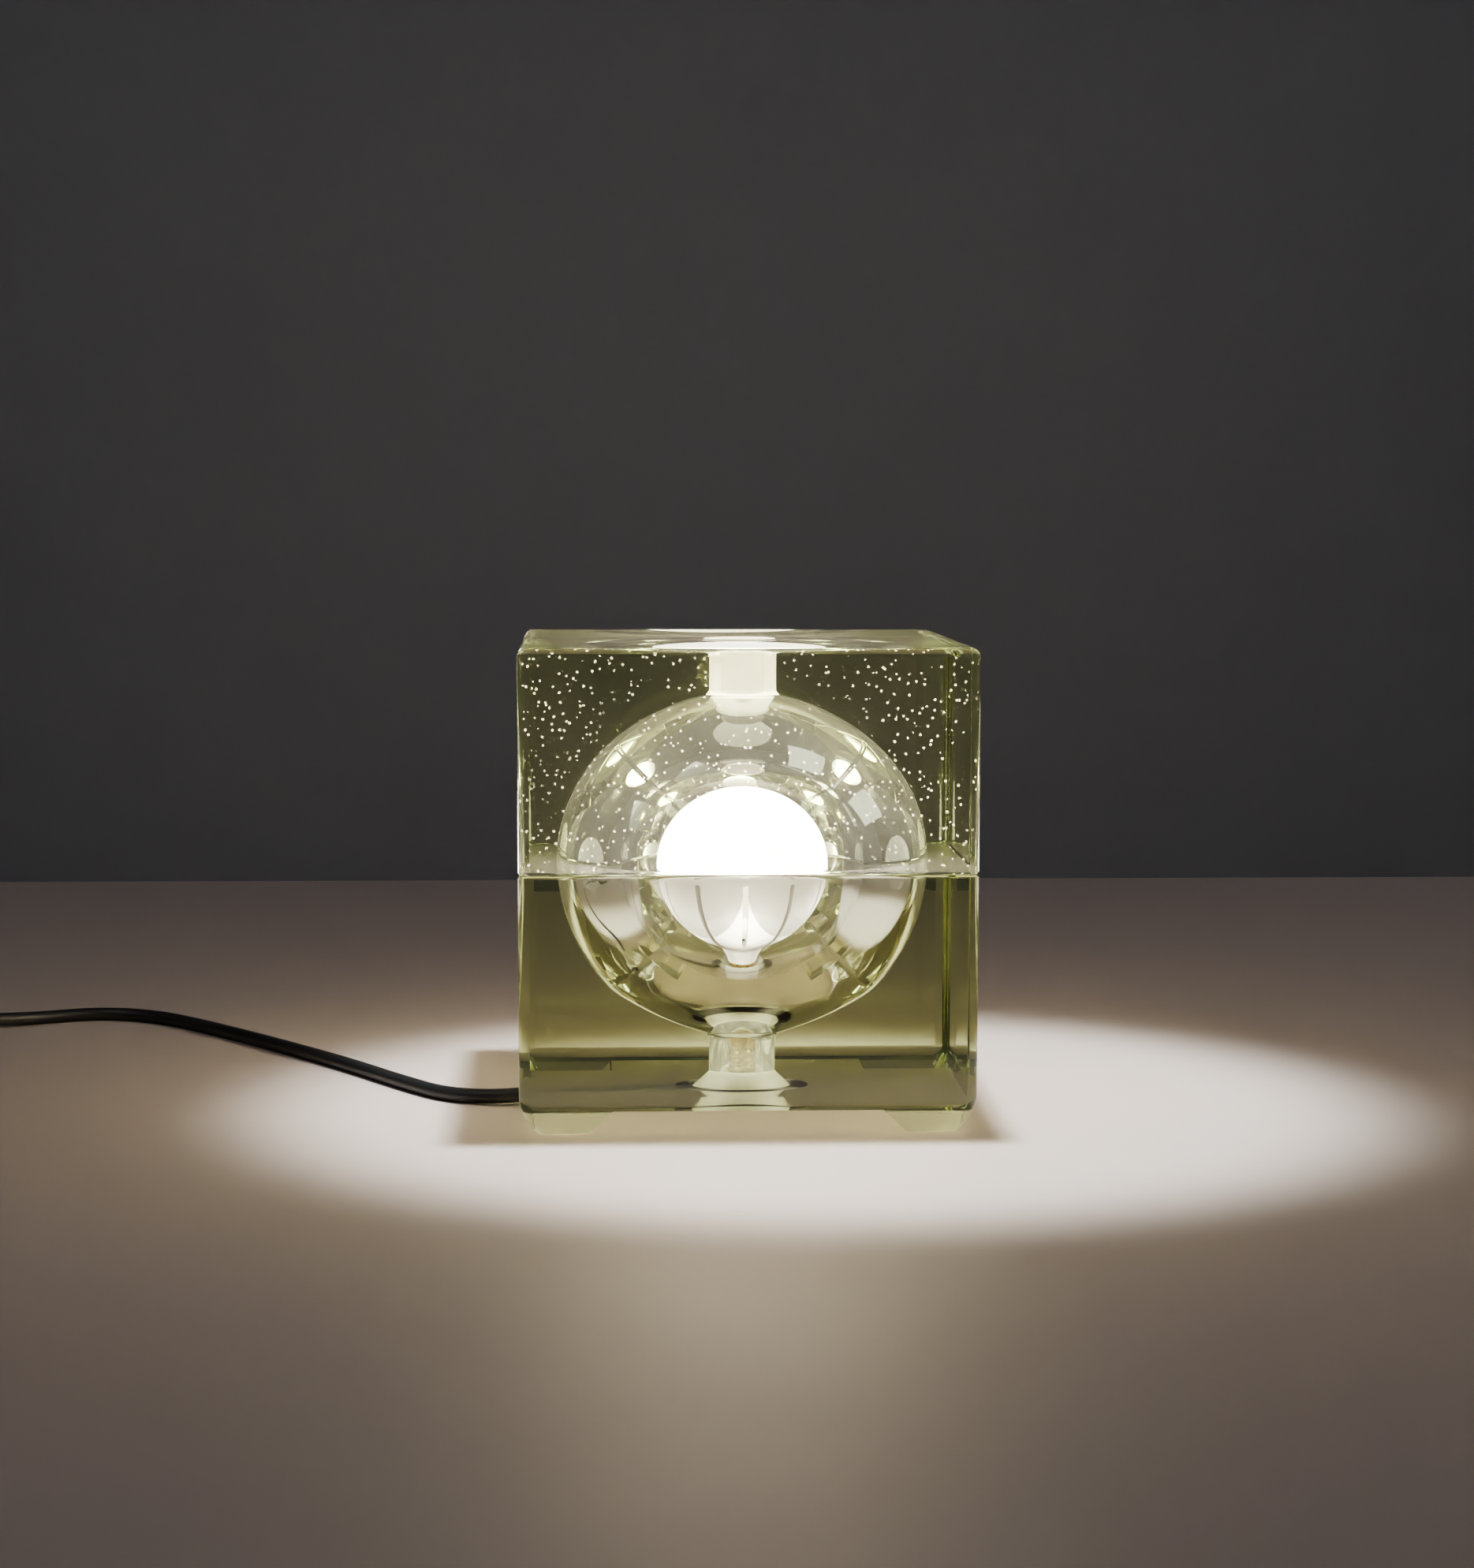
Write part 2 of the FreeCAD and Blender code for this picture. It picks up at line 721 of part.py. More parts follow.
def switch_bottom():
    body = rounded_box(switch_length, switch_width, 0, switch_split, switch_corner)
    body = body.makeFillet(1.0, level_edges(body, 0.0))
    inside = rounded_box(switch_length - 2 * switch_wall, switch_width - 2 * switch_wall,
                         switch_wall, switch_split + 1, switch_corner - switch_wall)
    body = body.cut(inside)
    for x, y in switch_screw_places():
        body = body.fuse(cylinder(2.4, switch_wall, switch_split, x, y))
    for x, y in switch_screw_places():
        body = body.cut(cylinder(screw_radius + 0.2, -1, switch_split + 1, x, y))
        body = body.cut(cylinder(2.1, -1, 1.2, x, y))
    return placed_on_cord(body.cut(cord_holes()).removeSplitter())


def switch_top():
    body = rounded_box(switch_length, switch_width, switch_split, switch_height, switch_corner)
    body = body.makeFillet(2.2, level_edges(body, switch_height))
    inside = rounded_box(switch_length - 2 * switch_wall, switch_width - 2 * switch_wall,
                         switch_split - 1, switch_height - switch_wall, switch_corner - switch_wall)
    body = body.cut(inside)
    half = rocker_width / 2 + 0.4
    window = box((-rocker_length / 2 - 0.5, -half, switch_height - 3),
                 (rocker_length / 2 + 0.5, half, switch_height + 1))
    for side in (1, -1):
        cheek = box((-2.5, half, 9.2), (2.5, half + 1.4, switch_height - switch_wall))
        if side < 0:
            cheek.rotate(Vector(), Vector(0, 0, 1), 180)
        body = body.fuse(cheek)
    for x, y in switch_screw_places():
        body = body.fuse(cylinder(2.4, switch_split, switch_height - switch_wall, x, y))
        body = body.cut(cylinder(screw_radius, switch_split - 1, switch_height - 2.5, x, y))
    pin = Part.makeCylinder(rocker_pin_radius + 0.05, switch_width,
                            at(0, -switch_width / 2, pivot_height()), Vector(0, 1, 0))
    pin_hole = pin.common(box((-3, -half - 1.5, 0), (3, half + 1.5, switch_height)))
    return placed_on_cord(body.cut([window, cord_holes(), pin_hole]).removeSplitter())


def pivot_height():
    return switch_height - 4.2


def switch_rocker():
    """A rocker whose top is a shallow vee, pressed down at one end at rest."""
    half, pivot = rocker_length / 2, pivot_height()
    points = [
        at(-half + 0.4, 0, pivot + 5.4), at(0, 0, pivot + 4.7), at(half - 0.4, 0, pivot + 5.4),
        at(half, 0, pivot + 2.0), at(half - 0.8, 0, pivot - 0.4), at(3.0, 0, pivot - 2.4),
        at(-3.0, 0, pivot - 2.4), at(-half + 0.8, 0, pivot - 0.4), at(-half, 0, pivot + 2.0),
    ]
    outline = Part.Wire([Part.makeLine(a, b) for a, b in zip(points, points[1:] + points[:1])])
    body = Part.Face(outline).extrude(at(0, rocker_width))
    body.translate(at(0, -rocker_width / 2))
    bore = Part.makeCylinder(rocker_pin_radius + 0.05, 20, at(0, -10, pivot), Vector(0, 1, 0))
    body = body.cut(bore)
    body.rotate(at(0, 0, pivot), Vector(0, 1, 0), rocker_throw / 2)
    return placed_on_cord(body)


def rocker_pin():
    half = rocker_width / 2 + 1.7
    start = at(0, -half, pivot_height())
    return placed_on_cord(Part.makeCylinder(rocker_pin_radius, 2 * half, start, Vector(0, 1, 0)))


def switch_contacts():
    """Two fixed brass posts, each with a foot under a core's end."""
    posts = []
    for side in (1, -1):
        post = box((side * 9.0 - 2.5, -2.0, switch_wall), (side * 9.0 + 2.5, 2.0, 6.6))
        posts.append(post)
    return placed_on_cord(Part.makeCompound(posts))


def switch_screws():
    screws = []
    for x, y in switch_screw_places():
        head = cylinder(1.9, 0.3, 1.2, x, y)
        screws.append(head.fuse(cylinder(screw_radius - 0.05, 1.2, switch_height - 4.5, x, y)))
    return placed_on_cord(Part.makeCompound(screws))


# Plug

def placed_at_plug(solid):
    start = plug_start()
    start.z = 0
    solid.Placement = Placement(start, Rotation(Vector(0, 0, 1), plug_turn)) * solid.Placement
    return solid


def plug_section(width, height, y, radius):
    half_w, half_h, middle = width / 2, height / 2, plug_height / 2
    face = box((-half_w, y - 0.5, middle - half_h), (half_w, y + 0.5, middle + half_h))
    face = face.makeFillet(radius, [e for e in face.Edges if abs(e.BoundBox.YLength - 1) < 0.01])
    return face.slice(Vector(0, 1, 0), y)[0]


def plug_body():
    """A flat moulded body that widens from the cord to the pins, with a flat front."""
    waist = -plug_tail_length - 3.0
    sections = [
        plug_section(11.0, 9.0, -plug_tail_length, 3.0),
        plug_section(20.0, plug_height - 2.0, waist - 5.0, 4.0),
        plug_section(plug_width - 6.0, plug_height, waist - 16.0, 4.5),
        plug_section(plug_width, plug_height, -plug_tail_length - plug_length, 4.5),
    ]
    body = Part.makeLoft(sections, True, True)
    front = -plug_tail_length - plug_length
    for side in (1, -1):
        start = at(side * pin_spacing / 2, front - 1, plug_height / 2)
        body = body.cut(Part.makeCylinder(pin_core_radius, pin_in_body + 1, start, Vector(0, 1, 0)))
    return placed_at_plug(body)


def plug_tail():
    """The bend relief between the cord and the plug's body."""
    profile = [(0.0, 0.0), (0.0, 3.2), (-plug_tail_length, 4.3), (-plug_tail_length, 0.0)]
    corners = [at(radius, y, plug_height / 2) for y, radius in profile]
    outline = Part.Wire([Part.makeLine(a, b) for a, b in zip(corners, corners[1:] + corners[:1])])
    return placed_at_plug(Part.Face(outline).revolve(at(0, 0, plug_height / 2), Vector(0, 1, 0), 360))


def plug_pins():
    front = -plug_tail_length - plug_length
    pins = []
    for side in (1, -1):
        x = side * pin_spacing / 2
        tip = front - pin_length
        bare = Part.makeCylinder(pin_diameter / 2, pin_length - sleeve_length,
                                 at(x, tip, plug_height / 2), Vector(0, 1, 0))
        round_end = [e for e in bare.Edges if abs(e.BoundBox.YMin - tip) < 0.01 and e.BoundBox.YLength < 0.01]
        bare = bare.makeFillet(1.2, round_end)
        thin = Part.makeCylinder(pin_core_radius, sleeve_length + pin_in_body,
                                 at(x, front - sleeve_length, plug_height / 2), Vector(0, 1, 0))
        pins.append(bare.fuse(thin).removeSplitter())
    return placed_at_plug(Part.makeCompound(pins))


def pin_sleeves():
    front = -plug_tail_length - plug_length
    sleeves = []
    for side in (1, -1):
        start = at(side * pin_spacing / 2, front - sleeve_length, plug_height / 2)
        outer = Part.makeCylinder(pin_diameter / 2, sleeve_length, start, Vector(0, 1, 0))
        inner = Part.makeCylinder(pin_core_radius, sleeve_length, start, Vector(0, 1, 0))
        sleeves.append(outer.cut(inner))
    return placed_at_plug(Part.makeCompound(sleeves))


def main():
    os.makedirs("parts", exist_ok=True)
    coil, coil_end = coil_path()
    pieces = {
        "lower_glass_block": lower_glass_block(),
        "upper_glass_block": upper_glass_block(),
        "lampholder_base": lampholder_base(),
        "screw_shell": screw_shell(),
        "centre_contact": centre_contact(),
        "shell_contact": shell_contact(),
        "terminal_blocks": terminal_blocks(),
        "terminal_screws": terminal_screws(),
        "bottom_cap": bottom_cap(),
        "cap_screws": cap_screws(),
        "strain_relief": strain_relief(),
        "live_core": core(1),
        "neutral_core": core(-1),
        "contact_tip": contact_tip(),
        "cap_insulator": cap_insulator(),
        "bulb_cap": bulb_cap(),
        "bulb_collar": bulb_collar(),
        "heat_spreader": heat_spreader(),
        "bulb_globe": bulb_globe(),
        "led_board": led_board(),
        "led_chips": led_chips(),
        "driver_board": driver_board(),
        "driver_capacitor": driver_capacitor(),
        "driver_coil": driver_coil(),
        "bulb_leads": bulb_leads(),
        "switch_bottom": switch_bottom(),
        "switch_top": switch_top(),
        "switch_rocker": switch_rocker(),
        "rocker_pin": rocker_pin(),
        "switch_contacts": switch_contacts(),
        "switch_screws": switch_screws(),
        "cord_lead": tube(rounded_path(lead_points(), "lead"), cord_diameter),
        "cord_link": tube(rounded_path(link_points(), "link"), cord_diameter),
        "cord_coil": tube(coil, cord_diameter),
        "coil_tie": coil_tie(),
        "cord_tail": tube(rounded_path(tail_points(coil_end), "tail"), cord_diameter),
        "plug_tail": plug_tail(),
        "plug_body": plug_body(),
        "plug_pins": plug_pins(),
        "pin_sleeves": pin_sleeves(),
    }
    for name, solid in pieces.items():
        if not solid.isValid():
            print("not a valid solid:", name)
        solid.exportStep("parts/" + name + ".step")
    print(len(pieces), "pieces written")


main()
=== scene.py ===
import json
import math

import bpy
from mathutils import Matrix, Quaternion, Vector


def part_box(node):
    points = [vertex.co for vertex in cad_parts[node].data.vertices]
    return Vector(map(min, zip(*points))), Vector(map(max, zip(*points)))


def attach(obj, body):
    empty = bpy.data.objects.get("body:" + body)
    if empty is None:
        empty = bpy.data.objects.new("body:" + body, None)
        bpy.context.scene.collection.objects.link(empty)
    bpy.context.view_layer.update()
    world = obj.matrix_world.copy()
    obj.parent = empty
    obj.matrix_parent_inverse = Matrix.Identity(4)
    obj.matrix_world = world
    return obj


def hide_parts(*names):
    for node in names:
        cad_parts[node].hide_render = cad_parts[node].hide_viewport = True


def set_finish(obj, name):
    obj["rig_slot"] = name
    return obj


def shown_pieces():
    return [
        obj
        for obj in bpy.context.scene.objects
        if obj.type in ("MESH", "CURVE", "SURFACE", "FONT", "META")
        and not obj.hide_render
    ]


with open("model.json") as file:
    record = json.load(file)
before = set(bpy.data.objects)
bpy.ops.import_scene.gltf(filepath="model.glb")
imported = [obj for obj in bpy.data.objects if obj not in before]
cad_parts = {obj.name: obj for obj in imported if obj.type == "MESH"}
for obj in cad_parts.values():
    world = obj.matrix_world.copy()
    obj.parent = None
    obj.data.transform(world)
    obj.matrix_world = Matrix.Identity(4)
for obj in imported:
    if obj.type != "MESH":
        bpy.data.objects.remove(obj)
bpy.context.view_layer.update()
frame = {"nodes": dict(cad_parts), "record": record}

slotOfNode = {part["node"]: part["material_slot"] for part in frame["record"]["subparts"]}
print("frame loaded:", len(frame["nodes"]), "nodes")


# Small tools for modelling

def deselectAll():
    if bpy.context.object and bpy.context.object.mode != "OBJECT":
        bpy.ops.object.mode_set(mode="OBJECT")
    bpy.ops.object.select_all(action="DESELECT")


def makeActive(piece):
    deselectAll()
    piece.select_set(True)
    bpy.context.view_layer.objects.active = piece


def applyPlace(piece):
    makeActive(piece)
    bpy.ops.object.transform_apply(location=True, rotation=True, scale=True)


def named(name):
    piece = bpy.context.object
    piece.name = name
    piece.data.name = name
    return piece


def addBox(name, low, high):
    deselectAll()
    middle = (Vector(low) + Vector(high)) / 2
    bpy.ops.mesh.primitive_cube_add(size=1, location=middle, scale=Vector(high) - Vector(low))
    piece = named(name)
    applyPlace(piece)
    return piece


def pick(piece, kind, test):  # selects edges or faces by their place, and stays in edit mode
    makeActive(piece)
    bpy.ops.object.mode_set(mode="EDIT")
    bpy.ops.mesh.select_mode(type=kind)
    bpy.ops.mesh.select_all(action="DESELECT")
    bpy.ops.object.mode_set(mode="OBJECT")
    corners = piece.data.vertices
    for part in piece.data.edges if kind == "EDGE" else piece.data.polygons:
        part.select = test([corners[v].co for v in part.vertices])
    bpy.ops.object.mode_set(mode="EDIT")


def bevelEdges(piece, test, width, steps):
    pick(piece, "EDGE", test)
    bpy.ops.mesh.bevel(offset=width, segments=steps, affect="EDGES", clamp_overlap=True)
    bpy.ops.object.mode_set(mode="OBJECT")


def isUprightEdge(corners):
    return (corners[0].xy - corners[1].xy).length < 1e-6


def isAlongX(corners):
    return abs(corners[0].y - corners[1].y) < 1e-6 and abs(corners[0].z - corners[1].z) < 1e-6


def isLevelAt(height, reach=1e-5):
    return lambda corners: all(abs(c.z - height) < reach for c in corners)


def tidyMesh(piece, merge=2e-6):
    makeActive(piece)
    bpy.ops.object.mode_set(mode="EDIT")
    bpy.ops.mesh.select_all(action="SELECT")
    bpy.ops.mesh.remove_doubles(threshold=merge)
    bpy.ops.mesh.normals_make_consistent(inside=False)
    bpy.ops.object.mode_set(mode="OBJECT")


def smooth(piece, angle=30):
    makeActive(piece)
    bpy.ops.object.shade_smooth_by_angle(angle=math.radians(angle))


def addModifier(piece, kind, **values):
    makeActive(piece)
    modifier = piece.modifiers.new(kind.lower(), kind)
    for name, value in values.items():
        setattr(modifier, name, value)
    bpy.ops.object.modifier_apply(modifier=modifier.name)


def cutWith(piece, cutter, operation="DIFFERENCE"):
    addModifier(piece, "BOOLEAN", object=cutter, operation=operation, solver="EXACT")
    bpy.data.objects.remove(cutter)


def drawOutline(name, start, strokes):  # radius and height, as straight strokes and arcs
    deselectAll()
    bpy.ops.mesh.primitive_plane_add(size=0.001, location=(start[0], 0, start[1]))  # merged to one point
    piece = named(name)
    applyPlace(piece)
    bpy.ops.object.mode_set(mode="EDIT")
    bpy.ops.mesh.select_mode(type="VERT")
    bpy.ops.mesh.merge(type="CENTER")
    here = Vector(start)
    for stroke in strokes:
        end = Vector(stroke[0])
        if len(stroke) == 1:
            move = (end.x - here.x, 0, end.y - here.y)
            bpy.ops.mesh.extrude_vertices_move(TRANSFORM_OT_translate={"value": move})
        else:
            centre, steps = Vector(stroke[1]), stroke[2]
            turn = math.atan2(end.y - centre.y, end.x - centre.x)
            turn -= math.atan2(here.y - centre.y, here.x - centre.x)
            turn = (turn + math.pi) % (2 * math.pi) - math.pi
            bpy.ops.mesh.spin(steps=steps, angle=turn, center=(centre.x, 0, centre.y), axis=(0, 1, 0))
        here = end
    return piece


def turnOutline(piece, steps=128):
    bpy.ops.mesh.select_all(action="SELECT")
    bpy.ops.mesh.spin(steps=steps, angle=2 * math.pi, center=(0, 0, 0), axis=(0, 0, 1))
    tidyMesh(piece)
    return piece


def turned(name, start, strokes, steps=128):
    return turnOutline(drawOutline(name, start, strokes), steps)


def carryOn(before, here, end):  # the centre of an arc that leaves here smoothly and reaches end
    inward = (Vector(before) - Vector(here)).normalized()
    chord = Vector(end) - Vector(here)
    return Vector(here) + inward * chord.length_squared / (2 * chord.dot(inward))


def onCircle(centre, radius, degrees):
    angle = math.radians(degrees)
    return Vector((centre[0] + radius * math.cos(angle), centre[1] + radius * math.sin(angle)))


def smoothCopy(node, name, edge, sharp=35):  # a merged copy of a CAD node, with soft edges
    source = frame["nodes"][node]
    piece = source.copy()
    piece.data = source.data.copy()
    piece.parent = None
    piece.matrix_world = Matrix.Identity(4)
    piece.name = piece.data.name = name
    for key in list(piece.keys()):
        del piece[key]
    bpy.context.scene.collection.objects.link(piece)
    tidyMesh(piece, 1e-5)
    addModifier(piece, "BEVEL", width=edge, segments=3, limit_method="ANGLE",
                angle_limit=math.radians(sharp), harden_normals=False)
    smooth(piece)
    return piece


# Materials, written as sums of node sockets

class Socket:
    def __init__(self, look, output):
        self.look, self.output = look, output

    def sum(self, operation, *parts):
        return self.look.node("ShaderNodeMath", {"operation": operation}, dict(enumerate(parts)))

    def __add__(self, other):
        return self.sum("ADD", self, other)

    def __sub__(self, other):
        return self.sum("SUBTRACT", self, other)

    def __rsub__(self, other):
        return self.sum("SUBTRACT", other, self)

    def __mul__(self, other):
        return self.sum("MULTIPLY", self, other)

    def __pow__(self, other):
        return self.sum("POWER", self, other)

    def __abs__(self):
        return self.sum("ABSOLUTE", self)

    def __lt__(self, other):
        return self.sum("LESS_THAN", self, other)

    def __gt__(self, other):
        return self.sum("GREATER_THAN", self, other)

    __radd__ = __add__
    __rmul__ = __mul__


class Look:
    def __init__(self, name):
        self.material = bpy.data.materials.new(name)
        self.material.use_nodes = True
        self.tree = self.material.node_tree
        self.tree.nodes.clear()

    def node(self, kind, settings=None, sockets=None, output=0):
        made = self.tree.nodes.new(kind)
        for name, value in (settings or {}).items():
            if name == "stops":
                for stop, (position, colour) in zip(made.color_ramp.elements, value):
                    stop.position, stop.color = position, (*colour, 1)
            else:
                setattr(made, name, value)
        for name, value in (sockets or {}).items():
            if isinstance(value, Socket):
                self.tree.links.new(value.output, made.inputs[name])
            else:
                made.inputs[name].default_value = value
        return Socket(self, made.outputs[output]) if made.outputs else None

    def place(self):
        return self.node("ShaderNodeTexCoord", output="Object")

    def along(self, axis):
        return self.node("ShaderNodeSeparateXYZ", None, {0: self.place()}, axis)

    def facing(self, axis):
        normal = self.node("ShaderNodeNewGeometry", output="True Normal")
        return self.node("ShaderNodeSeparateXYZ", None, {0: normal}, axis)

    def fromAxis(self):  # distance from the lamp's axis
        return (self.along("X") ** 2 + self.along("Y") ** 2) ** 0.5

    def noise(self, size, detail=2.0, stretch=(1, 1, 1)):  # size is one blotch in metres
        spread = self.node("ShaderNodeMapping", None, {"Vector": self.place(), "Scale": stretch})
        return self.node("ShaderNodeTexNoise", None, {"Vector": spread, "Scale": 1 / size, "Detail": detail})

    def cells(self, size, output="Distance"):
        return self.node("ShaderNodeTexVoronoi", None, {"Vector": self.place(), "Scale": 1 / size}, output)

    def between(self, value, low, high):  # 0 at low, 1 at high, smooth in between
        return self.node("ShaderNodeMapRange", {"interpolation_type": "SMOOTHSTEP"},
                         {"Value": value, "From Min": low, "From Max": high})

    def blendColours(self, factor, first, second):
        return self.node("ShaderNodeMix", {"data_type": "RGBA"},
                         {0: factor, 6: (*first, 1), 7: (*second, 1)}, 2)

    def mixShaders(self, factor, first, second):
        return self.node("ShaderNodeMixShader", None, {0: factor, 1: first, 2: second})

    def bump(self, height, depth):
        return self.node("ShaderNodeBump", None, {"Height": height, "Distance": depth, "Strength": 1.0})

    def principled(self, **sockets):
        names = {name.replace("_", " "): value for name, value in sockets.items()}
        return self.node("ShaderNodeBsdfPrincipled", None, names)

    def finish(self, surface, volume=None):
        out = {"Surface": surface}
        if volume:
            out["Volume"] = volume
        self.node("ShaderNodeOutputMaterial", None, out)
        return self.material


# The camera stands where the photo's stood

photoCamera = {
    "place": (-0.05706, -1.19242, 0.22260),
    "right": 2.708,    # degrees
    "down": 5.097,
    "roll": -0.117,
    "lens": 74.516,
    "sensor": 36.0,
}


def setCamera(values):
    deselectAll()
    bpy.ops.object.camera_add(location=values["place"])
    camera = bpy.context.object
    right, down = math.radians(values["right"]), math.radians(values["down"])
    ahead = Vector((math.sin(right) * math.cos(down), math.cos(right) * math.cos(down), -math.sin(down)))
    camera.rotation_mode = "QUATERNION"
    level = ahead.to_track_quat("-Z", "Y")
    camera.rotation_quaternion = level @ Quaternion((0, 0, 1), -math.radians(values["roll"]))
    camera.data.lens = values["lens"]
    camera.data.sensor_width = values["sensor"]
    camera.data.clip_end = 50
    bpy.context.scene.camera = camera


setCamera(photoCamera)
print("camera set")


# The cord, in two stretches with the switch between them

cordValues = {
    "diameter": 0.0054,
    "leadLength": 0.4047,
    "plugLength": 1.342,
    "leadRoute": [  # from the strain relief to the switch, millimetres
        (-44.82, -10.35, 5.4), (-63.53, -14.67, 5.4), (-84, -19, 3.4), (-106, -13, 2.75),
        (-124, 13, 2.75), (-147, 52, 2.75), (-176, 95, 2.75), (-208, 139, 2.75), (-234, 171, 2.75),
        (-262, 184, 2.75), (-290, 169, 2.75), (-316, 151, 5.2), (-338, 136, 6.6),
    ],
    "linkRoute": [  # from the switch to the coil
        (-387.566, 102.188, 6.6), (-405.74, 89.79, 5.0), (-417, 67, 3.45), (-417, 44, 3.45),
    ],
    "tailRoute": [  # from the coil to the plug
        (-417, 33.2, 9.45), (-417, 18, 9.45), (-417.8, 4, 8.0), (-420, -9, 6.85),
        (-417.909, -28.89, 6.85),
    ],
    "coilStart": (-417, 38.6, 3.45),
    "outerRadius": 37.8,
    "pitch": 6.0,          # a turn lies this far inside or above the next
    "halfTurnsIn": 5,
    "halfTurnsOut": 6,
    "pointsPerHalfTurn": 8,
    "roundness": 5,
    "smoothness": 10,
}


def coilPoints(values):
    x, y, z = values["coilStart"]
    step, count = values["pitch"] / 2, values["pointsPerHalfTurn"]
    inward = [values["outerRadius"] - step * k for k in range(values["halfTurnsIn"])]
    smallest = values["outerRadius"] - step * values["halfTurnsIn"]
    outward = [smallest + step * (k + 1) for k in range(values["halfTurnsOut"])]
    points = []
    for number, radius in enumerate(inward + [smallest] + outward):
        side = 1 if number % 2 == 0 else -1
        centre, rise = x + side * radius, values["pitch"] if number == values["halfTurnsIn"] else 0
        reach = radius / math.cos(math.pi / 2 / count)  # the line between two points touches the turn
        for k in range(count):
            angle = math.pi * (k + 0.5) / count
            points.append((centre - side * reach * math.cos(angle), y - side * reach * math.sin(angle),
                           z + rise * (k + 0.5) / count))
        x, z = centre + side * radius, z + rise
    return points


def layCord(name, route, values):
    curve = bpy.data.curves.new(name, "CURVE")
    curve.dimensions = "3D"
    curve.bevel_depth = 1.0            # the points' own radius sets the thickness
    curve.bevel_resolution = values["roundness"]
    curve.resolution_u = values["smoothness"]
    curve.use_fill_caps = True
    spline = curve.splines.new("NURBS")
    spline.points.add(len(route) - 1)
    for point, place in zip(spline.points, route):
        point.co = (*(value / 1000 for value in place), 1)
        point.radius = values["diameter"] / 2
    spline.order_u = 3
    spline.use_endpoint_u = True
    piece = bpy.data.objects.new(name, curve)
    bpy.context.scene.collection.objects.link(piece)
    return piece


leadCord = layCord("leadCord", cordValues["leadRoute"], cordValues)
plugRoute = cordValues["linkRoute"] + coilPoints(cordValues) + cordValues["tailRoute"]
plugCord = layCord("plugCord", plugRoute, cordValues)
for piece in (leadCord, plugCord):
    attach(piece, "lamp_base")
    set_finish(piece, "cable_black")
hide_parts("cord_lead")
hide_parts("cord_link", "cord_coil", "cord_tail")
print("cords laid")


# The two pressed-glass halves

glassValues = {
    "cornerRadius": 0.004,
    "topEdge": 0.003,
    "seamEdge": 0.0012,
    "seamGap": 0.00003,        # the ground faces don't quite touch
    "draftHeight": 0.014,      # the sides curve in from here down to the feet
    "draftInset": 0.006,
    "draftPower": 1.7,
    "draftSteps": 7,
    "underside": 0.009,
    "footReachAtBlock": 0.033,
    "footReachAtTable": 0.024,
    "footEdge": 0.001,
    "cavityRadius": 0.067,
    "upperShoulder": (0.056, 50),   # radius, and the turn in degrees
    "upperDome": 0.0596,
    "lowerTurn": 42,
    "lowerKnuckle": (0.025, 16),
    "lowerDome": 0.0634,
    "boreRadius": 0.012,
    "mouthEdge": 0.002,
    "rimRadius": 0.0015,
    "flareRadius": 0.0175,
    "flareDepth": 0.005,
    "over": 0.001,             # cutters reach this far past a face
    "turnSteps": 160,
}


def upperCavity(values, seam, top):
    radius, bore, over = values["cavityRadius"], values["boreRadius"], values["over"]
    shoulderRadius, shoulderTurn = values["upperShoulder"]
    rim = values["rimRadius"]
    centre = Vector((radius - shoulderRadius, seam))
    shoulder = onCircle(centre, shoulderRadius, shoulderTurn)
    mouth = Vector((bore, seam + values["upperDome"]))
    cutter = turned("upperCavity", (0, seam - over), [
        ((radius, seam - over),), ((radius, seam),), (shoulder, centre, 20),
        (mouth, carryOn(centre, shoulder, mouth), 14), ((bore, top - rim),),
        ((bore + rim, top), (bore + rim, top - rim), 5), ((bore + rim, top + over),), ((0, top + over),),
    ], values["turnSteps"])
    bevelEdges(cutter, isLevelAt(mouth.y), values["mouthEdge"], 5)
    return cutter


def lowerCavity(values, seam):
    radius, bore, over = values["cavityRadius"], values["boreRadius"], values["over"]
    kneeRadius, kneeTurn = values["lowerKnuckle"]
    turn, floor = values["lowerTurn"], values["underside"]
    centre = Vector((0, seam))
    shoulder = onCircle(centre, radius, -turn)
    kneeCentre = onCircle(centre, radius - kneeRadius, -turn)
    knee = onCircle(kneeCentre, kneeRadius, -turn - kneeTurn)
    mouth = Vector((bore, seam - values["lowerDome"]))
    flare = floor + values["flareDepth"]
    cutter = turned("lowerCavity", (0, seam + over), [
        ((radius, seam + over),), ((radius, seam),), (shoulder, centre, 16), (knee, kneeCentre, 6),
        (mouth, carryOn(kneeCentre, knee, mouth), 12), ((bore, flare),),
        ((values["flareRadius"], floor),), ((values["flareRadius"], floor - over),), ((0, floor - over),),
    ], values["turnSteps"])
    bevelEdges(cutter, isLevelAt(mouth.y), values["mouthEdge"], 5)
    return cutter


def flatFaces(piece, least=2e-5):  # wide flat faces keep their own normals
    for face in piece.data.polygons:
        if face.area > least and max(abs(n) for n in face.normal) > 0.99999:
            face.use_smooth = False


def upperHalf(values):
    low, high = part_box("upper_glass_block")
    seam, top = low.z, high.z
    block = addBox("upperGlass", (low.x, low.y, seam + values["seamGap"]), high)
    bevelEdges(block, isUprightEdge, values["cornerRadius"], 7)
    bevelEdges(block, isLevelAt(top), values["topEdge"], 6)
    bevelEdges(block, isLevelAt(seam + values["seamGap"]), values["seamEdge"], 4)
    cutWith(block, upperCavity(values, seam, top))
    smooth(block)
    flatFaces(block)
    return block


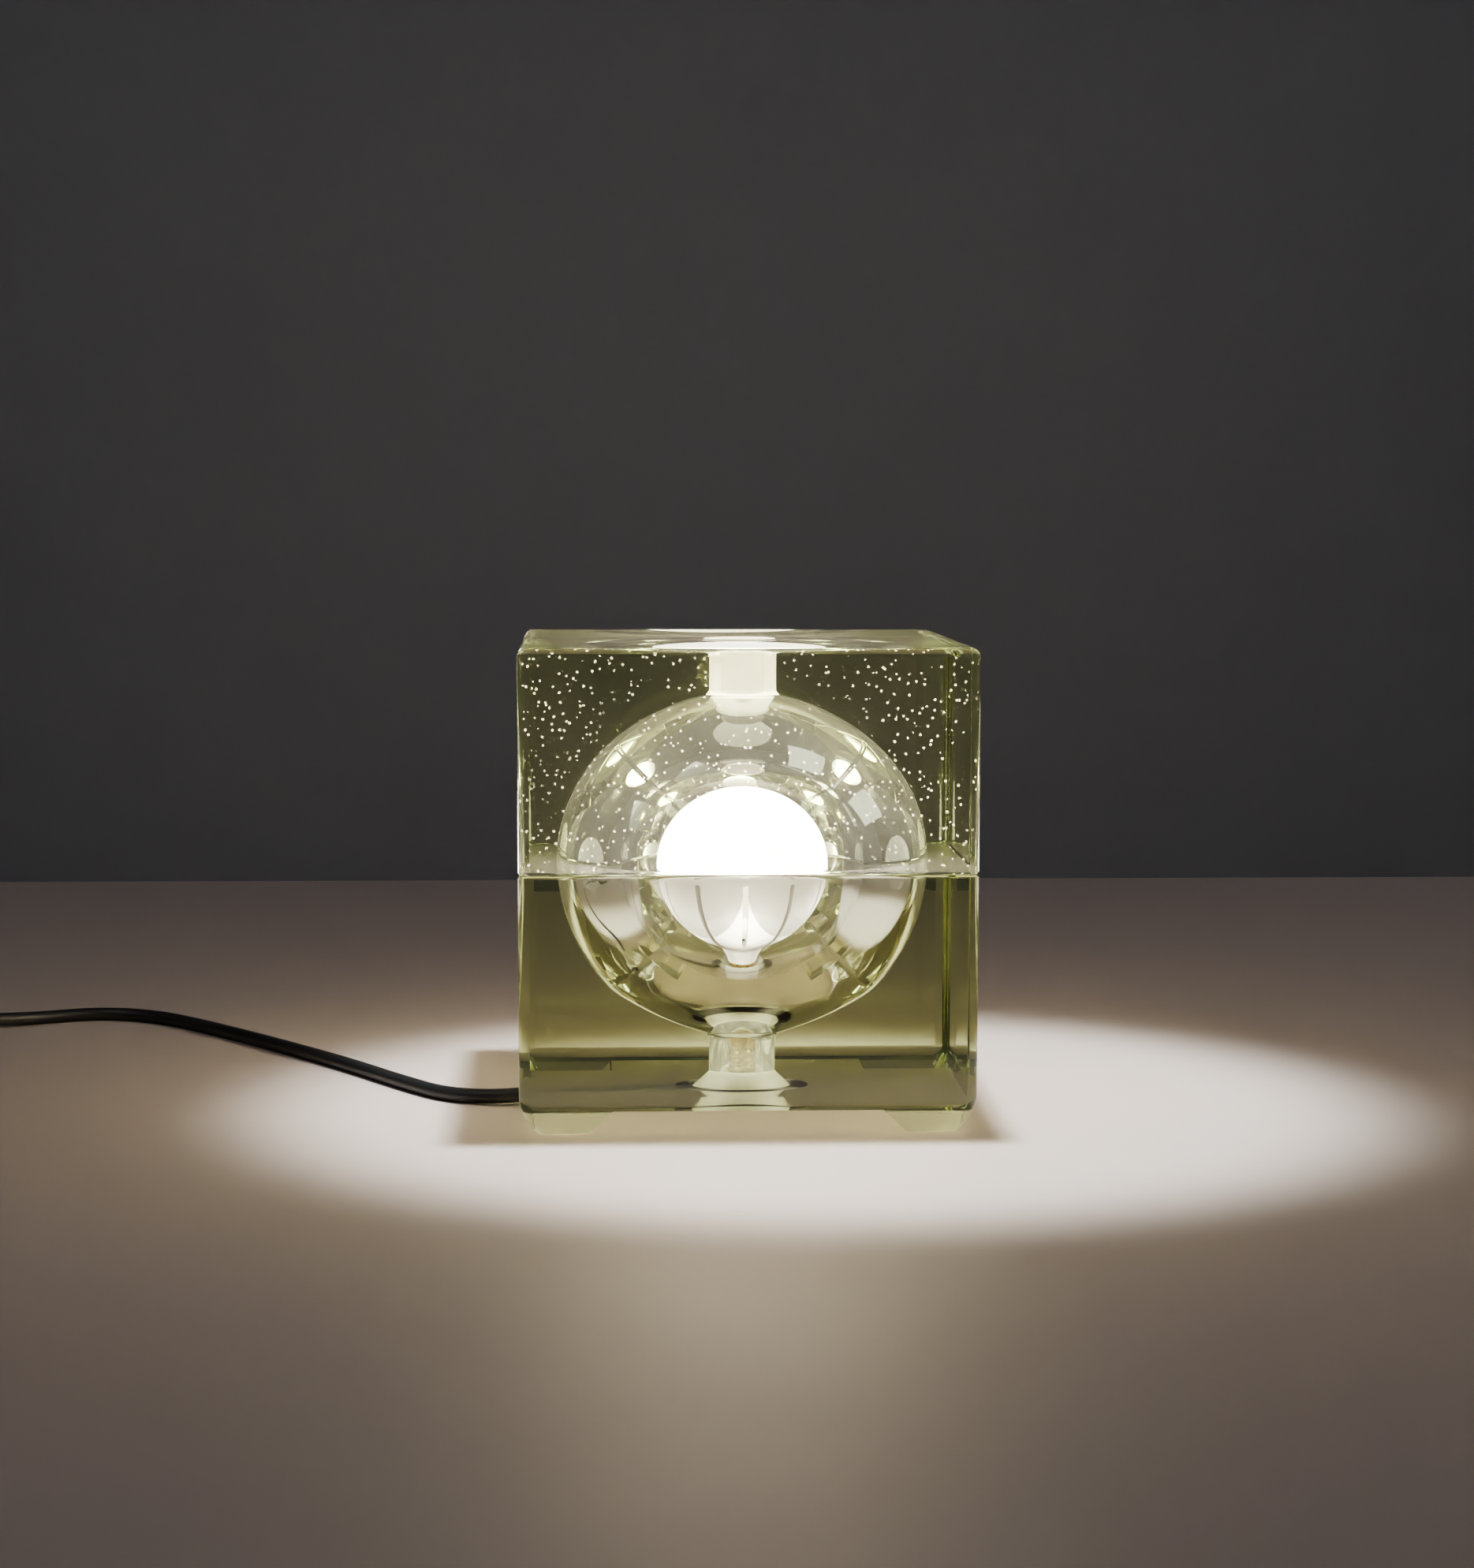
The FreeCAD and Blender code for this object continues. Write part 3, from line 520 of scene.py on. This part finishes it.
def footChannel(values, reach, along):
    narrow = reach - values["footReachAtBlock"]
    wide = reach - values["footReachAtTable"]
    top, bottom = values["underside"], -values["over"]
    wide += (wide - narrow) * values["over"] / top
    sides = (0.1, narrow) if along else (narrow, 0.1)
    cutter = addBox("footChannel", (-sides[0], -sides[1], bottom), (*sides, top))
    pick(cutter, "FACE", isLevelAt(bottom))
    stretch = (1, wide / narrow, 1) if along else (wide / narrow, 1, 1)
    bpy.ops.transform.resize(value=stretch, center_override=(0, 0, bottom))
    bpy.ops.object.mode_set(mode="OBJECT")
    return cutter


def lowerHalf(values):
    low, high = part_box("lower_glass_block")
    seam, reach, draft = high.z, high.x, values["draftHeight"]
    block = addBox("lowerGlass", (low.x, low.y, draft), high)
    bevelEdges(block, isUprightEdge, values["cornerRadius"], 7)
    bevelEdges(block, isLevelAt(seam), values["seamEdge"], 4)
    pick(block, "FACE", isLevelAt(draft))
    side, steps = reach, values["draftSteps"]
    for step in range(steps):
        down = {"value": (0, 0, -draft / steps)}
        bpy.ops.mesh.extrude_region_move(TRANSFORM_OT_translate=down)
        share = (step + 1) / steps
        narrower = reach - values["draftInset"] * share ** values["draftPower"]
        level = (0, 0, draft * (1 - share))
        bpy.ops.transform.resize(value=(narrower / side, narrower / side, 1), center_override=level)
        side = narrower
    bpy.ops.object.mode_set(mode="OBJECT")
    for along in (True, False):
        cutWith(block, footChannel(values, reach, along))
    bevelEdges(block, isLevelAt(0), values["footEdge"], 3)
    cutWith(block, lowerCavity(values, seam))
    smooth(block)
    flatFaces(block)
    return block


upperGlass = upperHalf(glassValues)
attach(upperGlass, "upper_glass")
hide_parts("upper_glass_block")
lowerGlass = lowerHalf(glassValues)
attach(lowerGlass, "lamp_base")
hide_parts("lower_glass_block")
for piece in (upperGlass, lowerGlass):
    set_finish(piece, "cast_glass")
    print(piece.name, len(piece.data.polygons), "faces", [round(v, 4) for v in piece.dimensions])
print("glass halves made")


# The bulb: a half globe on a ribbed housing

bulbValues = {
    "radius": 0.047,
    "centre": 0.088,
    "wall": 0.0014,
    "ribCount": 14,
    "grooveWidth": 0.0024,
    "grooveDepth": 0.006,
    "grooveLow": 0.0475,
    "grooveHigh": 0.0835,
    "grooveStart": 0.01,       # from here out past the housing
    "grooveOver": 0.002,
    "grooveRound": 0.8,        # share of half its width
    "housingTurn": 62,
    "waist": (0.013, 0.041),
    "foot": (0.011, 0.036),
    "bore": (0.00865, 0.036, 0.044),   # radius, bottom and top
    "housingWall": 0.0083,
    "ledge": 0.0852,
    "lip": 0.0426,
    "turnSteps": 168,
}


def globeDiffuser(values):
    centre = Vector((0, values["centre"]))
    outer, inner = values["radius"], values["radius"] - values["wall"]
    globe = turned("globeDiffuser", (outer, centre.y), [
        ((0, centre.y + outer), centre, 28), ((0, centre.y + inner),), ((inner, centre.y), centre, 28),
        ((outer, centre.y),),
    ], values["turnSteps"])
    smooth(globe)
    return globe


def ribbedHousing(values):
    centre, outer = Vector((0, values["centre"])), values["radius"]
    inner = outer - values["housingWall"]
    bore, bottom, top = values["bore"]
    ledge = (math.sqrt(inner ** 2 - (centre.y - values["ledge"]) ** 2), values["ledge"])
    housing = turned("ribbedHousing", values["foot"], [
        (values["waist"],), (onCircle(centre, outer, -values["housingTurn"]),),
        ((outer, centre.y), centre, 20), ((values["lip"], centre.y),), ((values["lip"], values["ledge"]),),
        (ledge,), (onCircle(centre, inner, -values["housingTurn"]), centre, 16), ((bore, top),),
        ((bore, bottom),), (values["foot"],),
    ], values["turnSteps"])
    half = values["grooveWidth"] / 2
    for number in range(values["ribCount"]):
        slab = addBox("groove", (values["grooveStart"], -half, values["grooveLow"]),
                      (outer + values["grooveOver"], half, values["grooveHigh"]))
        bevelEdges(slab, isAlongX, half * values["grooveRound"], 3)
        slab.rotation_euler.z = 2 * math.pi * (number + 0.5) / values["ribCount"]
        applyPlace(slab)
        if number:
            slab.select_set(True)
            bpy.context.view_layer.objects.active = grooves
            grooves.select_set(True)
            bpy.ops.object.join()
        else:
            grooves = slab
    deselectAll()
    bpy.ops.mesh.primitive_uv_sphere_add(segments=96, ring_count=64, radius=outer - values["grooveDepth"],
                                         location=(0, 0, centre.y))
    core = named("grooveFloor")
    applyPlace(core)
    cutWith(grooves, core)
    cutWith(housing, grooves)
    tidyMesh(housing)
    smooth(housing, 35)
    return housing


globe = globeDiffuser(bulbValues)
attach(globe, "bulb")
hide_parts("bulb_globe")
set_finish(globe, "bulb_opal")
housing = ribbedHousing(bulbValues)
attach(housing, "bulb")
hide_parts("heat_spreader")
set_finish(housing, "bulb_white")
print("bulb made")


# The ringed sleeve where the cord leaves the holder

reliefValues = {
    "turn": 193,               # degrees, the way the cord leaves
    "height": 0.0054,
    "neck": (0.0194, 0.0222, 0.0242),   # the collar inside the wall, then the neck in it
    "neckRadii": (0.0031, 0.0027),
    "headRadius": 0.0034,
    "headEdge": 0.0007,
    "headEnd": 0.0292,
    "ringCount": 6,
    "groove": 0.0004,
    "grooveShape": ((0.08, 0.55), (0.16, 0.95), (0.30, 1.0), (0.38, 0.6), (0.46, 0.0), (0.96, 0.0)),
    "endRadius": 0.0030,
    "endEdge": 0.0003,
    "end": 0.0460,
}


def ringedRelief(values):
    inside, wall, head = values["neck"]
    wide, narrow = values["neckRadii"]
    big, soft = values["headRadius"], values["headEdge"]
    strokes = [((wide, inside),), ((wide, wall),), ((narrow, wall),), ((narrow, head),), ((big - soft, head),),
               ((big, head + soft), (big - soft, head + soft), 4), ((big, values["headEnd"]),)]
    step = (values["end"] - values["headEnd"]) / values["ringCount"]
    for number in range(values["ringCount"]):
        start = values["headEnd"] + step * number
        radius = big + (values["endRadius"] - big) * (number + 0.5) / values["ringCount"]
        for share, depth in values["grooveShape"]:
            strokes.append(((radius - depth * values["groove"], start + share * step),))
    strokes += [((values["endRadius"] - values["endEdge"], values["end"]),), ((0, values["end"]),)]
    relief = turned("ringedRelief", (0, inside), strokes, 48)
    angle = math.radians(values["turn"])
    along = Vector((math.cos(angle), math.sin(angle), 0))
    relief.rotation_euler = Vector((0, 0, 1)).rotation_difference(along).to_euler()
    relief.location.z = values["height"]
    applyPlace(relief)
    smooth(relief, 40)
    return relief


relief = ringedRelief(reliefValues)
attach(relief, "lamp_base")
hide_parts("strain_relief")
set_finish(relief, "relief_black")


# The hook-and-loop band round the coil

tieValues = {
    "thickness": 0.0009,
    "corner": 0.0034,
    "tabLength": 0.0095,
    "tabThickness": 0.0007,
    "tabInset": 0.0003,
    "edge": 0.00025,
    "over": 0.001,
}


def tieStrap(values):
    low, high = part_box("coil_tie")
    thick, tab = values["thickness"], values["tabThickness"]
    over, inset = values["over"], values["tabInset"]
    top = high.z - tab
    strap = addBox("tieStrap", low, (high.x, high.y, top))
    bevelEdges(strap, isAlongX, values["corner"], 6)
    inside = addBox("tieInside", (low.x - over, low.y + thick, low.z + thick),
                    (high.x + over, high.y - thick, top - thick))
    bevelEdges(inside, isAlongX, values["corner"] - thick, 6)
    cutWith(strap, inside)
    middle = (low.y + high.y) / 2
    flap = addBox("tieFlap", (low.x + inset, middle - values["tabLength"] / 2, top - tab / 2),
                  (high.x - inset, middle + values["tabLength"] / 2, high.z))
    cutWith(strap, flap, "UNION")
    addModifier(strap, "BEVEL", width=values["edge"], segments=2, limit_method="ANGLE",
                angle_limit=math.radians(50))
    tidyMesh(strap)
    smooth(strap, 35)
    return strap


strap = tieStrap(tieValues)
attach(strap, "lamp_base")
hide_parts("coil_tie")
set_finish(strap, "tie_black")
print("relief and tie made")


# Moulded and pressed pieces, with the softened edges that a mould leaves

softened = {  # node: new name, edge in metres, body
    "lampholder_base": ("holderBase", 0.0003, "lamp_base"),
    "bottom_cap": ("holderCap", 0.0004, "lamp_base"),
    "bulb_collar": ("bulbNeck", 0.0004, "bulb"),
    "switch_bottom": ("switchShellLow", 0.0006, "lamp_base"),
    "switch_top": ("switchShellHigh", 0.0006, "lamp_base"),
    "switch_rocker": ("switchRocker", 0.0004, "rocker"),
    "plug_body": ("plugBody", 0.0005, "lamp_base"),
    "plug_tail": ("plugTail", 0.0004, "lamp_base"),
    "pin_sleeves": ("pinSleeves", 0.0001, "lamp_base"),
    "bulb_cap": ("bulbCap", 0.0002, "bulb"),
}
for node, (name, edge, body) in softened.items():
    piece = smoothCopy(node, name, edge)
    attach(piece, body)
    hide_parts(node)
    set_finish(piece, slotOfNode[node])
print("moulded pieces softened")


# The rolled screw shell of the lampholder

threadValues = {
    "pitch": 0.002822,
    "depth": 0.0005,
    "outer": 0.0078,
    "wall": 0.00035,
    "profileSteps": 10,
    "turnSteps": 64,
    "endInset": 0.0002,
}


def threadedShell(values, node, name):
    low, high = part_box(node)
    pitch, steps, mean = values["pitch"], values["profileSteps"], values["outer"] - values["depth"] / 2

    def wave(step):
        angle = 2 * math.pi * step / steps
        return Vector((mean + values["depth"] / 2 * math.cos(angle), low.z - 2 * pitch + pitch * step / steps))

    shell = drawOutline(name, wave(0), [(wave(step),) for step in range(1, steps + 1)])
    bpy.ops.object.mode_set(mode="OBJECT")
    turns = math.ceil((high.z - low.z) / pitch) + 3
    addModifier(shell, "SCREW", angle=2 * math.pi, screw_offset=pitch, iterations=turns,
                steps=values["turnSteps"], render_steps=values["turnSteps"], use_merge_vertices=True)
    tidyMesh(shell)
    bpy.ops.object.mode_set(mode="EDIT")
    inset = values["endInset"]
    for height, above in ((low.z + inset, False), (high.z - inset, True)):
        bpy.ops.mesh.select_all(action="SELECT")
        bpy.ops.mesh.bisect(plane_co=(0, 0, height), plane_no=(0, 0, 1),
                            clear_outer=above, clear_inner=not above)
    bpy.ops.object.mode_set(mode="OBJECT")
    addModifier(shell, "SOLIDIFY", thickness=values["wall"], offset=-1)
    tidyMesh(shell, 1e-6)
    smooth(shell, 50)
    return shell


screwShell = threadedShell(threadValues, "screw_shell", "screwShell")
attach(screwShell, "lamp_base")
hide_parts("screw_shell")
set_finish(screwShell, "brass")
print("screw shell made")


# Materials

castGlass = {
    "index": 1.52,
    "absorb": (0.81, 0.90, 0.42),
    "density": 8.0,
    "shadow": (0.205, 0.184, 0.171),
    "shadowBelow": (0.045, 0.036, 0.028),
    "wave": (0.035, 0.00007),  # size and height of the slow waves
    "grain": (0.0035, 0.0000009),
    "ground": 0.45,            # roughness of a ground face, and each face's share of it
    "groundShare": {"seam": 0.5, "upperBore": 0.9, "flare": 0.8, "lowerBore": 0.05},
    "scatter": (0.95, 0.93, 0.80),
    "bloom": 0.0050,           # how much light the surface scatters, and each face's share of it
    "bloomShare": {"side": 0.65, "top": 1.4, "all": 0.35},
    "bloomBlotch": 0.05,
    "speck": 0.22,             # how much light the small bubbles scatter
    "speckSpacing": 0.0024,
    "speckReach": 0.20,
    "speckPatch": (0.03, 0.34, 0.56),
    "foot": 0.20,              # and the rough moulded feet
    "under": 0.25,             # and the underside
    "bonded": (0.85, 0.10),    # white seen where the holder is bonded in the flare, and up the bore
    "bondedWhite": (0.94, 0.92, 0.86),
    "frosted": 0.35,
    "sideStart": 0.0775,       # a side face lies past this distance from the middle
    "near": {                  # how far past its edge each kind of surface is taken to reach
        "seam": 0.0006, "underside": 0.0004, "top": 0.0015, "upperBore": 0.0012, "mouth": 0.002,
        "lowerBore": 0.0008, "foot": 0.0005, "shadow": 0.001,
    },
    "facing": {"seam": 0.95, "underside": 0.9},
}


def castGlassLook(values):
    look = Look("castGlass")
    seam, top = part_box("lower_glass_block")[1].z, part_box("upper_glass_block")[1].z
    floor, bore, flare = glassValues["underside"], glassValues["boreRadius"], glassValues["flareRadius"]
    height, radius, side = look.along("Z"), look.fromAxis(), values["sideStart"]
    near, facing = values["near"], values["facing"]

    # where each kind of surface is
    onSeam = (abs(height - seam) < near["seam"]) * (abs(look.facing("Z")) > facing["seam"])
    onUnderside = (abs(height - floor) < near["underside"]) * (abs(look.facing("Z")) > facing["underside"])
    onSides = ((abs(look.along("X")) > side) + (abs(look.along("Y")) > side)) > 0.5
    onTop = height > top - near["top"]
    inUpperBore = (radius < bore + near["upperBore"]) * (height > seam + glassValues["upperDome"] - near["mouth"])
    inFlare = (radius < flare + near["lowerBore"]) * (height < floor + glassValues["flareDepth"] + near["foot"])
    inLowerBore = (radius < bore + near["lowerBore"]) * (height < seam - glassValues["lowerDome"])

    # clear glass, with slow waves and ground faces
    share = values["groundShare"]
    ground = onSeam * share["seam"] + inUpperBore * share["upperBore"]
    ground = ground + inFlare * share["flare"] + inLowerBore * share["lowerBore"]
    (waveSize, wave), (grainSize, grain) = values["wave"], values["grain"]
    waves = look.noise(waveSize, 1.0) * wave + look.noise(grainSize, 3.0) * grain
    normal = look.node("ShaderNodeBump", None, {"Height": waves, "Distance": 1.0, "Strength": 1.0})
    glass = look.principled(Base_Color=(1, 1, 1, 1), Roughness=ground * values["ground"], Normal=normal,
                            IOR=values["index"], Transmission_Weight=1.0)

    # a thin veil: bloom, bubbles, feet and underside
    share = values["bloomShare"]
    haze = onSides * share["side"] + onTop * share["top"] + share["all"]
    haze = look.noise(values["bloomBlotch"]) * values["bloom"] * haze
    blotch, none, full = values["speckPatch"]
    specks = look.cells(values["speckSpacing"]) < values["speckReach"]
    specks = specks * look.between(look.noise(blotch), none, full)
    rough = (height < floor - near["foot"]) * values["foot"] + onUnderside * values["under"]
    veil = haze + onSides * specks * values["speck"] * (height > seam) + rough
    scatter = look.node("ShaderNodeBsdfTranslucent", None, {"Color": (*values["scatter"], 1)})
    hazed = look.mixShaders(veil + inUpperBore * values["frosted"], glass, scatter)

    # the white holder behind the flare
    white = look.node("ShaderNodeBsdfDiffuse", None, {"Color": (*values["bondedWhite"], 1)})
    inFlareWhite, inBoreWhite = values["bonded"]
    body = look.mixShaders(inFlare * inFlareWhite + inLowerBore * inBoreWhite, hazed, white)

    # shadow rays pass, tinted
    shade = look.node("ShaderNodeBsdfTransparent", None, {"Color": (*values["shadow"], 1)})
    dusk = look.node("ShaderNodeBsdfTransparent", None, {"Color": (*values["shadowBelow"], 1)})
    shade = look.mixShaders(height < floor + near["shadow"], shade, dusk)
    isShadow = look.node("ShaderNodeLightPath", output="Is Shadow Ray")
    volume = look.node("ShaderNodeVolumeAbsorption", None,
                       {"Color": (*values["absorb"], 1), "Density": values["density"]})
    return look.finish(look.mixShaders(isShadow, body, shade), volume)


litOpal = {
    "colour": (0.95, 0.94, 0.92),
    "second": (0.9, 0.89, 0.86),
    "blotch": 0.012,
    "roughness": 0.3,
    "glow": (1.0, 0.94, 0.84),
    "strength": 650,
}


def litOpalLook(values):
    look = Look("litOpal")
    shade = look.blendColours(look.noise(values["blotch"]), values["colour"], values["second"])
    return look.finish(look.principled(
        Base_Color=shade, Roughness=values["roughness"], Emission_Color=(*values["glow"], 1),
        Emission_Strength=values["strength"]))


plainFinishes = {  # slot: colour, second colour, blotch in metres, roughness, spread of it, bump, metallic
    "socket_white": ((0.80, 0.78, 0.72), (0.74, 0.71, 0.64), 0.006, 0.38, 0.10, 0.000010, 0.0),
    "bulb_white": ((0.86, 0.84, 0.78), (0.80, 0.77, 0.70), 0.008, 0.36, 0.08, 0.000008, 0.0),
    "brass": ((0.80, 0.60, 0.27), (0.62, 0.42, 0.16), 0.003, 0.28, 0.16, 0.000010, 1.0),
    "contact_metal": ((0.78, 0.64, 0.40), (0.60, 0.46, 0.25), 0.003, 0.34, 0.12, 0.000006, 1.0),
    "plated_steel": ((0.62, 0.62, 0.61), (0.48, 0.48, 0.47), 0.002, 0.32, 0.14, 0.000008, 1.0),
    "cable_black": ((0.018, 0.018, 0.019), (0.026, 0.025, 0.025), 0.004, 0.42, 0.12, 0.000012, 0.0),
    "relief_black": ((0.022, 0.022, 0.022), (0.032, 0.031, 0.030), 0.003, 0.55, 0.12, 0.000020, 0.0),
    "core_brown": ((0.22, 0.09, 0.04), (0.16, 0.06, 0.03), 0.002, 0.40, 0.10, 0.000006, 0.0),
    "core_blue": ((0.05, 0.16, 0.50), (0.04, 0.12, 0.40), 0.002, 0.40, 0.10, 0.000006, 0.0),
    "nickel": ((0.70, 0.68, 0.64), (0.56, 0.54, 0.50), 0.002, 0.22, 0.12, 0.000006, 1.0),
    "black_insulator": ((0.03, 0.03, 0.03), (0.045, 0.04, 0.04), 0.002, 0.25, 0.10, 0.000006, 0.0),
    "solder": ((0.62, 0.62, 0.60), (0.48, 0.48, 0.46), 0.0015, 0.45, 0.20, 0.000030, 1.0),
    "aluminium": ((0.80, 0.80, 0.81), (0.70, 0.70, 0.71), 0.004, 0.35, 0.12, 0.000006, 1.0),
    "led_phosphor": ((0.90, 0.72, 0.22), (0.80, 0.62, 0.16), 0.001, 0.60, 0.10, 0.000010, 0.0),
    "board": ((0.06, 0.24, 0.10), (0.04, 0.18, 0.08), 0.003, 0.35, 0.10, 0.000010, 0.0),
    "component_dark": ((0.07, 0.07, 0.09), (0.10, 0.10, 0.12), 0.002, 0.40, 0.10, 0.000010, 0.0),
    "switch_black": ((0.022, 0.022, 0.023), (0.034, 0.033, 0.033), 0.003, 0.34, 0.12, 0.000016, 0.0),
    "plug_black": ((0.024, 0.024, 0.025), (0.036, 0.035, 0.035), 0.003, 0.48, 0.12, 0.000022, 0.0),
    "pin_nickel": ((0.74, 0.73, 0.70), (0.60, 0.59, 0.56), 0.002, 0.20, 0.14, 0.000006, 1.0),
    "sleeve_black": ((0.03, 0.03, 0.03), (0.04, 0.04, 0.04), 0.002, 0.50, 0.10, 0.000010, 0.0),
    "tie_black": ((0.020, 0.020, 0.021), (0.045, 0.043, 0.042), 0.0006, 0.85, 0.10, 0.000120, 0.0),
}


def plainLook(slot, values):
    colour, second, blotch, roughness, spread, depth, metal = values
    look = Look(slot)
    patches, grain = look.noise(blotch, 3.0), look.noise(blotch / 8, 2.0)
    return look.finish(look.principled(
        Base_Color=look.blendColours(patches, colour, second), Metallic=metal,
        Roughness=roughness - spread / 2 + patches * spread, Normal=look.bump(grain, depth)))


looks = {slot: plainLook(slot, values) for slot, values in plainFinishes.items()}
looks["cast_glass"] = castGlassLook(castGlass)
looks["bulb_opal"] = litOpalLook(litOpal)
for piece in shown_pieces():
    look = looks[piece.get("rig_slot") or slotOfNode[piece.name]]
    piece.data.materials.clear()
    piece.data.materials.append(look)
print("materials given")


# Floor, backdrop and lights

stageValues = {
    "floor": (0.56, 0.478, 0.438),
    "floorSecond": (0.53, 0.450, 0.412),
    "floorBlotch": 0.25,
    "floorRoughness": (0.55, 0.1),
    "floorGrain": (0.004, 0.00004),
    "wall": (0.185, 0.198, 0.236),
    "wallRoughness": 0.9,
    "wallPlace": 0.678,
    "size": 12.0,
    "world": (0.05, 0.05, 0.055),
}


def floorLook(values):
    look = Look("paleFloor")
    patches = look.noise(values["floorBlotch"], 3.0)
    (least, spread), (grain, depth) = values["floorRoughness"], values["floorGrain"]
    return look.finish(look.principled(
        Base_Color=look.blendColours(patches, values["floor"], values["floorSecond"]),
        Roughness=least + patches * spread, Normal=look.bump(look.noise(grain, 2.0), depth)))


def wallLook(values):  # seen only from the front, so that the lamp can be looked at from behind
    look = Look("plainWall")
    front = look.principled(Base_Color=(*values["wall"], 1), Roughness=values["wallRoughness"])
    nothing = look.node("ShaderNodeBsdfTransparent")
    behind = look.node("ShaderNodeNewGeometry", output="Backfacing")
    return look.finish(look.mixShaders(behind, front, nothing))


def setStage(values):
    deselectAll()
    bpy.ops.mesh.primitive_plane_add(size=values["size"])
    floor = named("studioFloor")
    floor.data.materials.append(floorLook(values))
    deselectAll()
    bpy.ops.mesh.primitive_plane_add(size=values["size"], location=(0, values["wallPlace"], 0),
                                     rotation=(math.pi / 2, 0, 0))
    wall = named("studioWall")
    applyPlace(wall)
    wall.data.materials.append(wallLook(values))
    world = bpy.data.worlds.new("studio")
    world.use_nodes = True
    world.node_tree.nodes["Background"].inputs["Color"].default_value = (*values["world"], 1)
    bpy.context.scene.world = world


studioLights = [  # place, aim, width, height, watts, colour
    ((-1.2, -0.8, 1.6), (0, 0, 0.08), 1.2, 1.2, 4.2, (1, 1, 1)),
    ((1.3, 0.2, 1.4), (0, 0, 0.08), 1.0, 1.0, 2.8, (1, 1, 1)),
]
glowLights = [  # the bulb's light that comes back from the bowl: radius, height, aim, cone, how many, watts
    (0.050, 0.062, 0.075, 130, 6, 0.85),
    (0.046, 0.0125, 0.020, 40, 4, 0.34),
]
glowLook = {"edge": 0.6, "size": 0.004, "colour": (1, 0.97, 0.88)}
poolLight = {"place": (0.03, -0.02, 0.9), "cone": 28.0, "edge": 0.45, "watts": 70.0, "size": 0.03,
             "colour": (0.92, 1.0, 1.02)}


def onlyLights(light):  # gives light, and isn't seen in glass or gloss
    light.visible_camera = light.visible_glossy = light.visible_transmission = False


def setLights(lights, glow, pool):
    for place, aim, width, height, watts, colour in lights:
        deselectAll()
        bpy.ops.object.light_add(type="AREA", location=place)
        light = bpy.context.object
        light.rotation_euler = (Vector(aim) - Vector(place)).to_track_quat("-Z", "Y").to_euler()
        light.data.shape = "RECTANGLE"
        light.data.size, light.data.size_y = width, height
        light.data.energy, light.data.color = watts, colour
    deselectAll()
    bpy.ops.object.light_add(type="SPOT", location=pool["place"])
    spot = bpy.context.object
    spot.data.spot_size, spot.data.spot_blend = math.radians(pool["cone"]), pool["edge"]
    spot.data.energy, spot.data.shadow_soft_size = pool["watts"], pool["size"]
    spot.data.color = pool["colour"]
    onlyLights(spot)
    for radius, height, aim, cone, count, watts in glow:
        for number in range(count):
            angle = 2 * math.pi * (number + 0.5) / count
            deselectAll()
            place = Vector((radius * math.cos(angle), radius * math.sin(angle), height))
            bpy.ops.object.light_add(type="SPOT", location=place)
            inward = bpy.context.object
            inward.rotation_euler = (Vector((0, 0, aim)) - place).to_track_quat("-Z", "Y").to_euler()
            inward.data.spot_size, inward.data.spot_blend = math.radians(cone), glowLook["edge"]
            inward.data.energy, inward.data.shadow_soft_size = watts, glowLook["size"]
            inward.data.color = glowLook["colour"]
            onlyLights(inward)


setStage(stageValues)
setLights(studioLights, glowLights, poolLight)
scene = bpy.context.scene
scene.cycles.use_denoising = True
scene.cycles.max_bounces = 18
scene.cycles.transmission_bounces = 18
scene.cycles.transparent_max_bounces = 18
scene.cycles.sample_clamp_indirect = 10
scene.view_settings.view_transform = "AgX"
scene.view_settings.look = "AgX - Medium High Contrast"
scene.view_settings.exposure = 0
print("stage and lights set")
